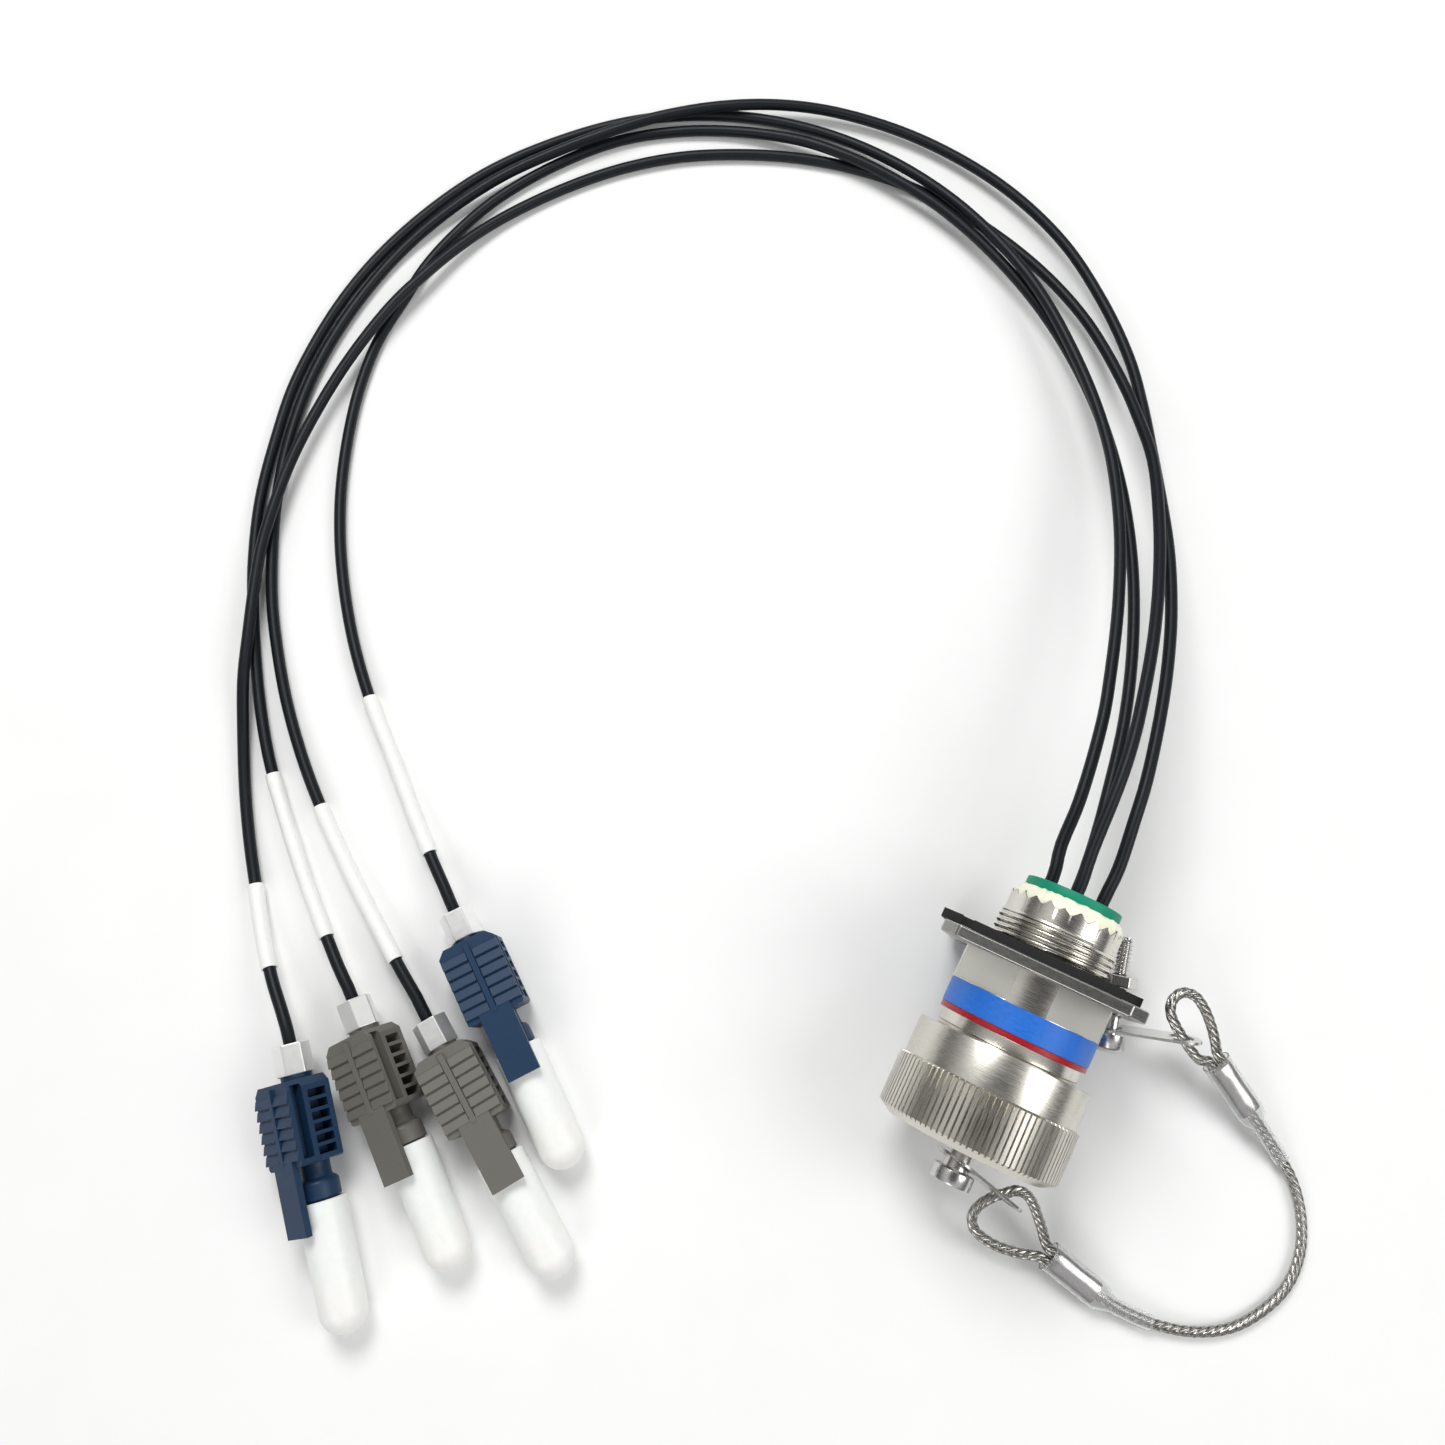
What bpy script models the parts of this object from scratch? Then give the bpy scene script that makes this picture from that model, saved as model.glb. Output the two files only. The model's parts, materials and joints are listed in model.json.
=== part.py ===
"""Fibre optic cable assembly: a square flange receptacle with a screwed protective cap on
a wire rope lanyard, and four cables that end in latching plugs with push-on dust caps.

Sizes are in millimetres and are turned into metres once, where a mesh is written.
The connector frame has +Y along its axis toward the cables; a plug frame has +Y toward its cap.
"""
import math

import bpy
import bmesh
import numpy as np
from mathutils import Matrix, Vector

MM = 0.001
CLEARANCE = 0.3

# How the connector lies
CONNECTOR_X = -5.353
CONNECTOR_Y = 9.97
AXIS_HEIGHT = 19.27
ROLL_DEG = 12.0
REAR_LIFT_DEG = 5.54

# Receptacle, stations along the axis from the flange front face, rear is positive
INSERT_REAR = 16.1
INSERT_FRONT = 13.9
INSERT_D = 17.4
POTTING_REAR = INSERT_FRONT - CLEARANCE
SLEEVE_REAR = 12.3
SLEEVE_D = 20.1
THREAD_REAR = 9.5
THREAD_FRONT = 4.7
THREAD_D = 21.7
THREAD_CRESTS = 4
THREAD_DEPTH = 0.6
FLANGE_SIZE = 33.6
FLANGE_THICK = 2.8
FLANGE_CORNER = 2.7
HOLE_OFFSET = 12.5
HOLE_D = 4.2
BODY_D = 27.0
FLATS_FRONT = -5.0
FLAT_START_DEG = 15.0
BLUE_BAND_FRONT = -9.35
RED_BAND_FRONT = -10.6
RED_BAND_D = 26.4
BARREL_D = 25.3
BARREL_FRONT = -20.2
CAVITY_D = 21.4
CAVITY_BOTTOM = -8.0
REAR_BORE_D = 18.0
REAR_BORE_BOTTOM = 9.6

# Gasket behind the flange
GASKET_SIZE = 32.6
GASKET_THICK = 1.3
GASKET_CORNER = 3.2
GASKET_SHIFT = -1.2
GASKET_FRONT = FLANGE_THICK + CLEARANCE

# Protective cap and its screw
CAP_MOUTH = -13.25
CAP_SHOULDER_D = 31.3
KNURL_REAR = -19.95
KNURL_D = 32.8
KNURL_FRONT = -30.5
CAP_END = -31.5
CAP_END_D = 30.8
CAP_BORE_D = BARREL_D + 2 * CLEARANCE + 0.1
CAP_BORE_BOTTOM = -28.5
CAP_NECK_D = 4.6
CAP_NECK_END = -34.0
CAP_HEAD_D = 7.2
CAP_HEAD_END = -36.6

# Lanyard lugs, flat plates with two holes
LUG_THICK = 0.5
CAP_LUG_SPACING = 11.4
CAP_LUG_ROOT_R = 3.9
CAP_LUG_HOLE_D = 5.5
CAP_LUG_STATION = -32.75
CAP_LUG_TURN_DEG = -47.8
CAP_LUG_TILT_DEG = 9.5
FLANGE_LUG_SPACING = 12.0
FLANGE_LUG_ROOT_R = 3.1
FLANGE_LUG_HOLE_D = 3.6
FLANGE_LUG_TILT_DEG = 4.0
FLANGE_LUG_TURN_DEG = -12.0
EYE_R = 3.4
EYE_D = 4.2

# Loose screw and nut in the lower right flange hole
SCREW_TILT_DEG = 11.0
SCREW_D = 2.7
SCREW_TIP = 10.9
SCREW_HEAD_D = 5.4
SCREW_HEAD_REAR = -5.2
SCREW_HEAD_FRONT = -8.4
NUT_FRONT = 3.2
NUT_REAR = 5.4
NUT_ACROSS_FLATS = 5.5
FLANGE_LUG_STATION = -4.1

# Wire rope lanyard
ROPE_D = 1.8
ROPE_SPREAD = ROPE_D / 2 + CLEARANCE / 2
FERRULE_HALF_WIDTH = 2.05
FERRULE_HALF_HEIGHT = 1.4
SLEEVE_WALL = 0.25
SLEEVE_OVERHANG = 0.8
ROPE_SLEEVE_R = ROPE_D / 2 + CLEARANCE + 0.08

# Cables
CABLE_D = 2.2
CABLE_STEP = 6.2
LABEL_BORE_R = CABLE_D / 2 + 0.38
LABEL_R = 1.72
CABLE_END_GAP = 0.45
CABLE_STRAIGHT = 1.6

# Plug, stations from the rear of the crimp ring toward the dust cap
CRIMP_LENGTH = 5.2
CRIMP_CORNERS_D = 6.4
NECK_REAR = CRIMP_LENGTH + CLEARANCE
REAR_NECK_D = 5.3
BODY_REAR = 6.1
BODY_FRONT = 19.3
BODY_WIDTH = 10.4
BODY_LOW = -2.65
BODY_HIGH = 5.85
GROOVE_LOW = 2.65
GROOVE_HIGH = 4.65
GROOVE_DEPTH = 1.6
GROOVE_REAR = 6.9
GROOVE_FRONT = 18.2
WINDOW_LOW = -2.2
WINDOW_HIGH = 1.1
WINDOW_LENGTH = 1.35
WINDOW_PITCH = 1.85
WINDOW_FIRST = 8.2
WINDOW_DEPTH = 1.3
LINE_PITCH = 1.75
LINE_FIRST = 8.3
LINE_WIDTH = 0.35
LINE_DEPTH = 0.35
LINE_INNER = 0.55
LINE_OUTER = 4.3
SIDE_ROWS = 6
ARM_WIDTH = 7.0
ARM_FRONT = 31.0
FRONT_NECK_D = 5.4
COLLAR_REAR = 21.3
COLLAR_FRONT = 24.2
COLLAR_D = 7.0
NOSE_FRONT = 38.0
NOSE_D = 6.2
DUST_CAP_REAR = COLLAR_FRONT + CLEARANCE
DUST_CAP_D = 8.4
DUST_CAP_BORE_D = NOSE_D + 2 * CLEARANCE
DUST_CAP_BORE_END = NOSE_FRONT + 0.9
DUST_CAP_END = 48.5

ROUND = 48
SMALL_ROUND = 24
SMOOTH_BELOW_DEG = 35.0

# Finish of each material: colour, roughness, metallic
FINISHES = {
    "nickel": ((0.62, 0.60, 0.56), 0.32, 1.0),
    "steel": ((0.55, 0.55, 0.54), 0.3, 1.0),
    "wire_rope": ((0.50, 0.50, 0.49), 0.4, 1.0),
    "ferrule_chrome": ((0.80, 0.80, 0.82), 0.1, 1.0),
    "clear_sleeve": ((0.93, 0.94, 0.94), 0.15, 0.0),
    "gasket_rubber": ((0.015, 0.015, 0.016), 0.8, 0.0),
    "insert_green": ((0.01, 0.26, 0.16), 0.6, 0.0),
    "resin_cream": ((0.87, 0.87, 0.60), 0.5, 0.0),
    "cable_black": ((0.012, 0.014, 0.02), 0.35, 0.0),
    "label_white": ((0.85, 0.85, 0.83), 0.5, 0.0),
    "crimp_metal": ((0.90, 0.90, 0.88), 0.25, 1.0),
    "cap_white": ((0.88, 0.88, 0.84), 0.45, 0.0),
    "plug_grey": ((0.14, 0.135, 0.12), 0.5, 0.0),
    "plug_blue": ((0.025, 0.055, 0.13), 0.5, 0.0),
}
PLUG_FINISH = {"a": "plug_grey", "b": "plug_blue", "c": "plug_blue", "d": "plug_grey"}

# Route of each cable, relative to the floor point under the flange front face
ROUTES = {
    "a": [(-4.9, 21.4, 20.3), (-4.9, 30.1, 21.0), (-6.1, 45.0, 20.4), (-7.3, 52.6, 19.3),
          (-10.5, 68.3, 16.4), (-15.3, 84.2, 13.4), (-22.6, 99.8, 10.7), (-33.5, 114.7, 8.2),
          (-48.2, 128.6, 6.6), (-67.2, 139.6, 4.6), (-86.8, 145.1, 2.8), (-104.9, 145.4, 1.7),
          (-121.4, 141.4, 1.2), (-136.3, 133.5, 1.2), (-149.4, 122.1, 1.2), (-160.8, 107.7, 1.2),
          (-169.5, 88.5, 1.2), (-173.3, 71.2, 1.2), (-173.5, 51.7, 1.2), (-171.0, 38.3, 1.2),
          (-167.6, 25.9, 1.2), (-162.8, 14.5, 1.2), (-159.0, 7.4, 1.2), (-154.9, 0.5, 1.2),
          (-148.3, -9.4, 1.35), (-141.2, -18.4, 1.8), (-134.1, -25.9, 1.85), (-125.8, -33.9, 2.4),
          (-117.0, -41.5, 3.7), (-110.2, -47.0, 4.9)],
    "b": [(1.0, 21.5, 16.4), (0.6, 27.0, 16.7), (0.0, 33.3, 16.6), (-1.7, 48.5, 15.0),
          (-5.0, 63.8, 12.9), (-10.1, 79.0, 10.9), (-17.5, 94.1, 8.9), (-27.5, 108.9, 6.4),
          (-41.3, 122.8, 4.2), (-55.3, 131.7, 3.8), (-70.9, 138.1, 3.8), (-85.3, 141.0, 3.7),
          (-94.4, 141.6, 3.6), (-103.3, 141.6, 2.8), (-115.9, 139.2, 1.6), (-127.5, 134.4, 1.2),
          (-138.0, 127.3, 1.2), (-147.1, 117.3, 1.2), (-154.9, 105.1, 1.2), (-159.0, 94.9, 1.2),
          (-161.4, 85.2, 1.2), (-162.1, 75.9, 1.2), (-162.6, 65.9, 1.2), (-161.5, 56.8, 1.2),
          (-159.4, 48.2, 1.2), (-155.1, 36.1, 1.2), (-150.6, 26.8, 1.2), (-145.2, 18.0, 1.2),
          (-137.8, 8.2, 1.5), (-129.3, -0.9, 1.85), (-120.0, -9.3, 1.9), (-111.7, -16.9, 2.4),
          (-104.3, -23.2, 3.6), (-99.5, -27.1, 4.2)],
    "c": [(-1.0, 20.9, 26.2), (-1.0, 34.4, 27.0), (-1.3, 41.8, 26.5), (-2.0, 49.3, 25.3),
          (-3.5, 61.0, 23.0), (-5.8, 73.1, 20.0), (-9.1, 85.6, 16.6), (-13.7, 98.3, 13.0),
          (-18.4, 106.5, 10.1), (-24.2, 114.6, 7.6), (-34.9, 125.8, 4.6), (-47.1, 133.7, 2.8),
          (-62.1, 139.4, 1.6), (-76.3, 141.8, 1.2), (-89.6, 141.3, 1.2), (-102.0, 138.8, 1.2),
          (-113.8, 134.5, 1.2), (-124.9, 128.8, 1.2), (-135.1, 121.1, 1.2), (-144.3, 111.5, 1.2),
          (-152.4, 100.1, 1.6), (-156.8, 90.9, 2.4), (-159.9, 81.6, 3.4), (-162.1, 74.2, 3.8),
          (-163.7, 66.4, 3.8), (-165.1, 55.9, 3.5), (-165.4, 44.2, 3.5), (-164.8, 34.5, 3.7),
          (-163.4, 25.5, 3.8), (-161.6, 17.4, 3.8), (-158.6, 8.8, 3.8), (-155.5, 1.1, 3.8),
          (-152.2, -7.2, 3.3), (-148.1, -15.7, 1.8), (-142.4, -25.6, 1.3), (-137.1, -33.4, 1.5),
          (-132.0, -40.1, 1.9), (-126.5, -46.9, 2.9), (-120.4, -53.3, 4.6), (-115.6, -57.5, 5.9)],
    "d": [(4.8, 21.2, 22.3), (4.3, 30.2, 22.9), (3.9, 37.5, 22.6), (2.1, 52.5, 20.7),
          (0.0, 64.1, 18.5), (-2.0, 71.9, 16.9), (-5.3, 81.7, 14.9), (-9.5, 91.5, 12.6),
          (-14.1, 102.0, 9.5), (-18.6, 111.6, 7.0), (-24.0, 120.7, 5.4), (-33.5, 131.6, 4.1),
          (-45.7, 141.4, 3.5), (-61.8, 148.7, 3.0), (-81.0, 152.3, 2.4), (-98.4, 151.1, 2.6),
          (-110.4, 147.4, 3.2), (-121.5, 141.6, 3.7), (-131.9, 134.2, 3.8), (-138.3, 128.4, 3.7),
          (-147.6, 118.8, 3.3), (-156.3, 108.1, 2.8), (-163.8, 95.2, 1.8), (-168.4, 82.7, 1.2),
          (-170.9, 66.6, 1.2), (-170.8, 52.3, 1.2), (-168.5, 39.3, 1.2), (-165.1, 28.2, 1.2),
          (-160.5, 17.8, 1.2), (-155.7, 8.9, 1.2), (-151.2, 2.2, 1.2), (-143.7, -7.4, 1.3),
          (-135.3, -16.2, 1.6), (-127.3, -23.3, 1.85), (-118.0, -30.6, 1.95), (-109.6, -36.6, 2.6),
          (-100.8, -42.6, 3.8), (-94.9, -46.4, 4.25)],
}

# Where each cable leaves the insert, in the connector frame (x, z)
EXITS = {"a": (-4.68, 0.23), "b": (0.06, -4.05), "c": (0.06, 5.35), "d": (4.68, 0.25)}

# Plug rear, dust cap end (floor point frame) and roll about the plug axis in degrees
PLUGS = {
    "a": ((-105.48, -50.67, 5.3), (-69.61, -82.58, 4.25), 28.0),
    "b": ((-96.36, -29.73, 4.3), (-59.65, -59.45, 4.3), 0.0),
    "c": ((-111.64, -61.56, 6.4), (-82.2, -97.58, 4.25), 42.0),
    "d": ((-92.15, -48.45, 4.3), (-52.09, -76.77, 4.3), 0.0),
}

# Label sleeve on each cable, start and end
LABELS = {
    "a": ((-139.0, -20.8, 1.7), (-115.2, -43.0, 3.8)),
    "b": ((-129.5, -0.7, 1.85), (-105.5, -22.2, 3.2)),
    "c": ((-132.0, -40.1, 1.7), (-121.5, -51.8, 3.8)),
    "d": ((-128.3, -22.6, 1.7), (-102.8, -42.3, 3.4)),
}

# Lanyard route
FLANGE_FERRULE = ((35.4, 0.4, 7.2), (43.6, -4.3, 4.7))
CAP_FERRULE = ((30.2, -42.6, 2.6), (21.4, -40.4, 3.9))
FLANGE_LOOP = [(32.0, -0.1, 7.9), (29.4, 0.87, 8.9), (27.2, 2.15, 9.89), (25.3, 3.3, 10.8),
               (23.6, 4.8, 11.7), (23.1, 6.7, 12.2), (24.2, 8.6, 12.3), (26.4, 9.0, 11.9),
               (28.6, 8.0, 11.1), (30.9, 6.0, 10.2), (33.0, 3.7, 9.0)]
CAP_LOOP = [(17.0, -36.0, 6.2), (14.0, -33.3, 8.2), (12.6, -32.6, 8.9), (11.4, -32.5, 9.3),
            (10.25, -32.9, 9.38), (9.12, -33.88, 9.38), (7.95, -34.8, 9.3), (6.2, -37.2, 8.5),
            (5.9, -39.4, 7.2), (7.4, -41.4, 5.8), (11.2, -42.3, 4.7), (15.9, -41.9, 4.0)]
LANYARD_RUN = [(45.9, -5.6, 3.9), (50.8, -8.5, 2.3), (54.9, -11.3, 1.3), (58.4, -16.2, 1.0),
               (60.3, -22.2, 1.0), (60.0, -28.2, 1.0), (57.4, -33.8, 1.0), (53.5, -38.4, 1.0),
               (48.1, -41.5, 1.2), (42.1, -43.0, 1.6), (36.3, -43.3, 2.0), (32.4, -43.0, 2.4)]


def clear_scene():
    for item in list(bpy.data.objects):
        bpy.data.objects.remove(item)


def finish(name):
    if name in bpy.data.materials:
        return bpy.data.materials[name]
    colour, roughness, metallic = FINISHES[name]
    material = bpy.data.materials.new(name)
    material.use_nodes = True
    shader = material.node_tree.nodes["Principled BSDF"]
    shader.inputs["Base Color"].default_value = (*colour, 1.0)
    shader.inputs["Roughness"].default_value = roughness
    shader.inputs["Metallic"].default_value = metallic
    material.diffuse_color = (*colour, 1.0)
    return material


def add_holder(name, frame):
    """An empty that carries the pieces drawn in its frame."""
    holder = bpy.data.objects.new(name, None)
    holder.empty_display_size = 5 * MM
    place = frame.copy()
    place.translation = frame.translation * MM
    holder.matrix_world = place
    bpy.context.scene.collection.objects.link(holder)
    return holder


def floor_point(point):
    return Vector((point[0] + CONNECTOR_X, point[1] + CONNECTOR_Y, point[2]))


def connector_frame():
    lie = Matrix.Rotation(math.radians(REAR_LIFT_DEG), 4, "X")
    roll = Matrix.Rotation(-math.radians(ROLL_DEG), 4, "Y")
    return Matrix.Translation(floor_point((0.0, 0.0, AXIS_HEIGHT))) @ lie @ roll


def axis_frame(start, end, roll_deg=0.0, side=None):
    forward = (end - start).normalized()
    across = forward.cross(Vector((0.0, 0.0, 1.0))).normalized()
    if side is not None:
        across = (side - forward * side.dot(forward)).normalized()
    up = across.cross(forward)
    frame = Matrix((across, forward, up)).transposed().to_4x4()
    turn = Matrix.Rotation(math.radians(roll_deg), 4, "Y")
    return Matrix.Translation(start) @ frame @ turn


def add_mesh(name, shape, holder=None, look=None):
    verts, faces = shape
    mesh = bpy.data.meshes.new(name)
    mesh.from_pydata([tuple(Vector(v) * MM) for v in verts], [], faces)
    builder = bmesh.new()
    builder.from_mesh(mesh)
    bmesh.ops.recalc_face_normals(builder, faces=builder.faces)
    builder.to_mesh(mesh)
    builder.free()
    mesh.shade_smooth()
    mesh.set_sharp_from_angle(angle=math.radians(SMOOTH_BELOW_DEG))
    if look:
        mesh.materials.append(finish(look))
    item = bpy.data.objects.new(name, mesh)
    item.parent = holder
    bpy.context.scene.collection.objects.link(item)
    return item


def even_angles(count):
    return [2 * math.pi * i / count for i in range(count)]


def shell_angles():
    half = FLANGE_SIZE / 2
    corner = math.degrees(math.atan((half - FLANGE_CORNER) / half))
    first = [0.0, 7.5, 15.0, 23.5, 32.0, corner, 45.0, 90.0 - corner, 58.0, 66.5, 75.0, 82.5]
    return [math.radians(quarter + a) for quarter in (0, 90, 180, 270) for a in first]


def turned(stations, angles, closed=False):
    verts, rings, faces = [], [], []
    for along, radius in stations:
        if not callable(radius) and radius == 0:
            rings.append([len(verts)])
            verts.append((0.0, along, 0.0))
            continue
        ring = []
        for angle in angles:
            r = radius(angle) if callable(radius) else radius
            ring.append(len(verts))
            verts.append((r * math.cos(angle), along, r * math.sin(angle)))
        rings.append(ring)
    pairs = list(zip(rings, rings[1:]))
    if closed:
        pairs.append((rings[-1], rings[0]))
    for first, second in pairs:
        for i in range(len(angles)):
            j = (i + 1) % len(angles)
            if len(first) == 1:
                faces.append((first[0], second[i], second[j]))
            elif len(second) == 1:
                faces.append((first[i], first[j], second[0]))
            else:
                faces.append((first[i], first[j], second[j], second[i]))
    return verts, faces


def prism(outline, start, end):
    count = len(outline)
    verts = [(x, start, z) for x, z in outline] + [(x, end, z) for x, z in outline]
    faces = [tuple(range(count)), tuple(reversed(range(count, 2 * count)))]
    faces += [(i, (i + 1) % count, count + (i + 1) % count, count + i) for i in range(count)]
    return verts, faces


def box(low, high):
    outline = [(low[0], low[2]), (high[0], low[2]), (high[0], high[2]), (low[0], high[2])]
    return prism(outline, low[1], high[1])


def joined(shapes):
    verts, faces = [], []
    for shape_verts, shape_faces in shapes:
        base = len(verts)
        verts += shape_verts
        faces += [tuple(i + base for i in face) for face in shape_faces]
    return verts, faces


def rod(x, z, diameter, start, end, count=SMALL_ROUND):
    outline = [(x + diameter / 2 * math.cos(a), z + diameter / 2 * math.sin(a))
               for a in even_angles(count)]
    return prism(outline, start, end)


def cut(item, cutter):
    step = item.modifiers.new("cut", "BOOLEAN")
    step.operation = "DIFFERENCE"
    step.solver = "EXACT"
    step.object = cutter
    cutter.hide_render = True
    cutter.display_type = "WIRE"


def square_radius(half, corner, shift=0.0):
    def radius(angle):
        x, z = math.cos(angle), math.sin(angle)
        limits = []
        for nx, nz in ((1, 0), (-1, 0), (0, 1), (0, -1)):
            facing = x * nx + z * nz
            if facing > 1e-6:
                limits.append((half + shift * nx) / facing)
        for nx, nz in ((1, 1), (-1, 1), (1, -1), (-1, -1)):
            facing = x * nx + z * nz
            if facing > 1e-6:
                limits.append((2 * half - corner + shift * nx) / facing)
        return min(limits)
    return radius


def flats_radius(radius):
    half_span = math.radians(45.0 - FLAT_START_DEG)

    def at(angle):
        offset = angle % (math.pi / 2) - math.pi / 4
        if abs(offset) < half_span:
            return radius * math.cos(half_span) / math.cos(offset)
        return radius
    return at


def smooth_curve(points):
    """Points every tenth of a millimetre or so on a smooth curve through the given points."""
    pts = [np.array(p, dtype=float) for p in points]
    pts = [2 * pts[0] - pts[1]] + pts + [2 * pts[-1] - pts[-2]]
    out = []
    for p0, p1, p2, p3 in zip(pts, pts[1:], pts[2:], pts[3:]):
        t0 = 0.0
        t1 = t0 + np.linalg.norm(p1 - p0) ** 0.5
        t2 = t1 + np.linalg.norm(p2 - p1) ** 0.5
        t3 = t2 + np.linalg.norm(p3 - p2) ** 0.5
        for t in np.linspace(t1, t2, 40, endpoint=False):
            a1 = (t1 - t) / (t1 - t0) * p0 + (t - t0) / (t1 - t0) * p1
            a2 = (t2 - t) / (t2 - t1) * p1 + (t - t1) / (t2 - t1) * p2
            a3 = (t3 - t) / (t3 - t2) * p2 + (t - t2) / (t3 - t2) * p3
            b1 = (t2 - t) / (t2 - t0) * a1 + (t - t0) / (t2 - t0) * a2
            b2 = (t3 - t) / (t3 - t1) * a2 + (t - t1) / (t3 - t1) * a3
            out.append((t2 - t) / (t2 - t1) * b1 + (t - t1) / (t2 - t1) * b2)
    out.append(pts[-2])
    return np.array(out)


def spaced(curve, step):
    steps = np.linalg.norm(np.diff(curve, axis=0), axis=1)
    along = np.concatenate(([0.0], np.cumsum(steps)))
    count = max(2, int(round(along[-1] / step)) + 1)
    wanted = np.linspace(0.0, along[-1], count)
    return np.array([[np.interp(s, along, curve[:, k]) for k in range(3)] for s in wanted])


def add_tube(name, points, diameter, look):
    curve = bpy.data.curves.new(name, "CURVE")
    curve.dimensions = "3D"
    curve.bevel_depth = diameter / 2 * MM
    curve.bevel_resolution = 2
    curve.use_fill_caps = True
    curve.materials.append(finish(look))
    spline = curve.splines.new("POLY")
    spline.points.add(len(points) - 1)
    for place, point in zip(spline.points, points):
        place.co = (*(Vector(point) * MM), 1.0)
    item = bpy.data.objects.new(name, curve)
    bpy.context.scene.collection.objects.link(item)
    return item


def hollow_sleeve(points, inner, outer, count=12):
    """A tube wall along the points; inner and outer give a half width and half height each."""
    verts, rings, faces = [], [], []
    tangents = np.gradient(points, axis=0)
    for sizes in (outer, inner):
        rows = range(len(points))
        if sizes is inner:
            rows = reversed(rows)
        for row in rows:
            forward = Vector(tangents[row]).normalized()
            across = forward.cross(Vector((0.0, 0.0, 1.0))).normalized()
            up = across.cross(forward)
            ring = []
            for angle in even_angles(count):
                offset = across * sizes[row][0] * math.cos(angle) + up * sizes[row][1] * math.sin(angle)
                ring.append(len(verts))
                verts.append(tuple(Vector(points[row]) + offset))
            rings.append(ring)
    for first, second in zip(rings, rings[1:] + rings[:1]):
        for i in range(count):
            j = (i + 1) % count
            faces.append((first[i], first[j], second[j], second[i]))
    return verts, faces


def two_circle_outline(first_r, second_r, spacing):
    lean = math.asin((first_r - second_r) / spacing)
    root = [math.pi / 2 - lean + (math.pi + 2 * lean) * i / 12 for i in range(13)]
    end = [-math.pi / 2 + lean + (math.pi - 2 * lean) * i / 12 for i in range(13)]
    outline = [(first_r * math.cos(a), first_r * math.sin(a)) for a in root]
    outline += [(spacing + second_r * math.cos(a), second_r * math.sin(a)) for a in end]
    return outline


def add_lug(name, frame, root_r, root_hole, spacing):
    holder = add_holder(name + "_place", frame)
    outline = two_circle_outline(root_r, EYE_R, spacing)
    item = add_mesh(name, prism(outline, -LUG_THICK / 2, LUG_THICK / 2), holder, "steel")
    holes = joined([rod(0.0, 0.0, root_hole, -1.0, 1.0), rod(spacing, 0.0, EYE_D, -1.0, 1.0)])
    cut(item, add_mesh(name + "_holes", holes, holder))


def add_receptacle(holder):
    angles = shell_angles()
    square = square_radius(FLANGE_SIZE / 2, FLANGE_CORNER)
    body_flats = flats_radius(BODY_D / 2)
    thread_r = THREAD_D / 2
    pitch = (THREAD_REAR - THREAD_FRONT) / THREAD_CRESTS
    stations = [(REAR_BORE_BOTTOM, 0), (REAR_BORE_BOTTOM, REAR_BORE_D / 2),
                (SLEEVE_REAR, REAR_BORE_D / 2), (SLEEVE_REAR, SLEEVE_D / 2),
                (THREAD_REAR, SLEEVE_D / 2)]
    for i in range(THREAD_CRESTS):
        stations.append((THREAD_REAR - pitch * (i + 0.5), thread_r))
        stations.append((THREAD_REAR - pitch * (i + 1), thread_r - THREAD_DEPTH))
    stations += [(FLANGE_THICK, thread_r - THREAD_DEPTH), (FLANGE_THICK, square), (0.0, square),
                 (0.0, body_flats), (FLATS_FRONT, body_flats), (FLATS_FRONT, BODY_D / 2),
                 (BLUE_BAND_FRONT, BODY_D / 2), (BLUE_BAND_FRONT, RED_BAND_D / 2),
                 (RED_BAND_FRONT, RED_BAND_D / 2), (RED_BAND_FRONT, BARREL_D / 2),
                 (BARREL_FRONT, BARREL_D / 2), (BARREL_FRONT, CAVITY_D / 2),
                 (CAVITY_BOTTOM, CAVITY_D / 2), (CAVITY_BOTTOM, 0)]
    shell = add_mesh("receptacle_shell", turned(stations, angles), holder, "nickel")
    places = [(x, z) for x in (-HOLE_OFFSET, HOLE_OFFSET) for z in (-HOLE_OFFSET, HOLE_OFFSET)]
    holes = joined([rod(x, z, HOLE_D, -1.0, GASKET_FRONT + GASKET_THICK + 1.0) for x, z in places])
    cutter = add_mesh("flange_holes", holes, holder)
    cut(shell, cutter)
    gasket_edge = square_radius(GASKET_SIZE / 2, GASKET_CORNER, GASKET_SHIFT)
    bore = THREAD_D / 2 + CLEARANCE
    back = GASKET_FRONT + GASKET_THICK
    ring = [(GASKET_FRONT, bore), (GASKET_FRONT, gasket_edge), (back, gasket_edge), (back, bore)]
    sheet = turned(ring, gasket_angles(), True)
    cut(add_mesh("flange_gasket", sheet, holder, "gasket_rubber"), cutter)
    potting = [(POTTING_REAR, 0), (POTTING_REAR, SLEEVE_D / 2),
               (SLEEVE_REAR + CLEARANCE, SLEEVE_D / 2),
               (SLEEVE_REAR + CLEARANCE, REAR_BORE_D / 2 - CLEARANCE),
               (REAR_BORE_BOTTOM + CLEARANCE, REAR_BORE_D / 2 - CLEARANCE),
               (REAR_BORE_BOTTOM + CLEARANCE, 0)]
    add_mesh("potting", turned(potting, even_angles(36)), holder, "resin_cream")
    insert = [(INSERT_REAR, 0), (INSERT_REAR, INSERT_D / 2 - 0.3), (INSERT_REAR - 0.3, INSERT_D / 2),
              (INSERT_FRONT, INSERT_D / 2), (INSERT_FRONT, 0)]
    add_mesh("rear_insert", turned(insert, even_angles(36)), holder, "insert_green")
    face = CAVITY_BOTTOM - CLEARANCE
    front = [(face, 0), (face, CAVITY_D / 2 - CLEARANCE), (face - 3.0, CAVITY_D / 2 - CLEARANCE),
             (face - 3.0, 0)]
    add_mesh("front_insert", turned(front, even_angles(36)), holder, "insert_green")


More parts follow.
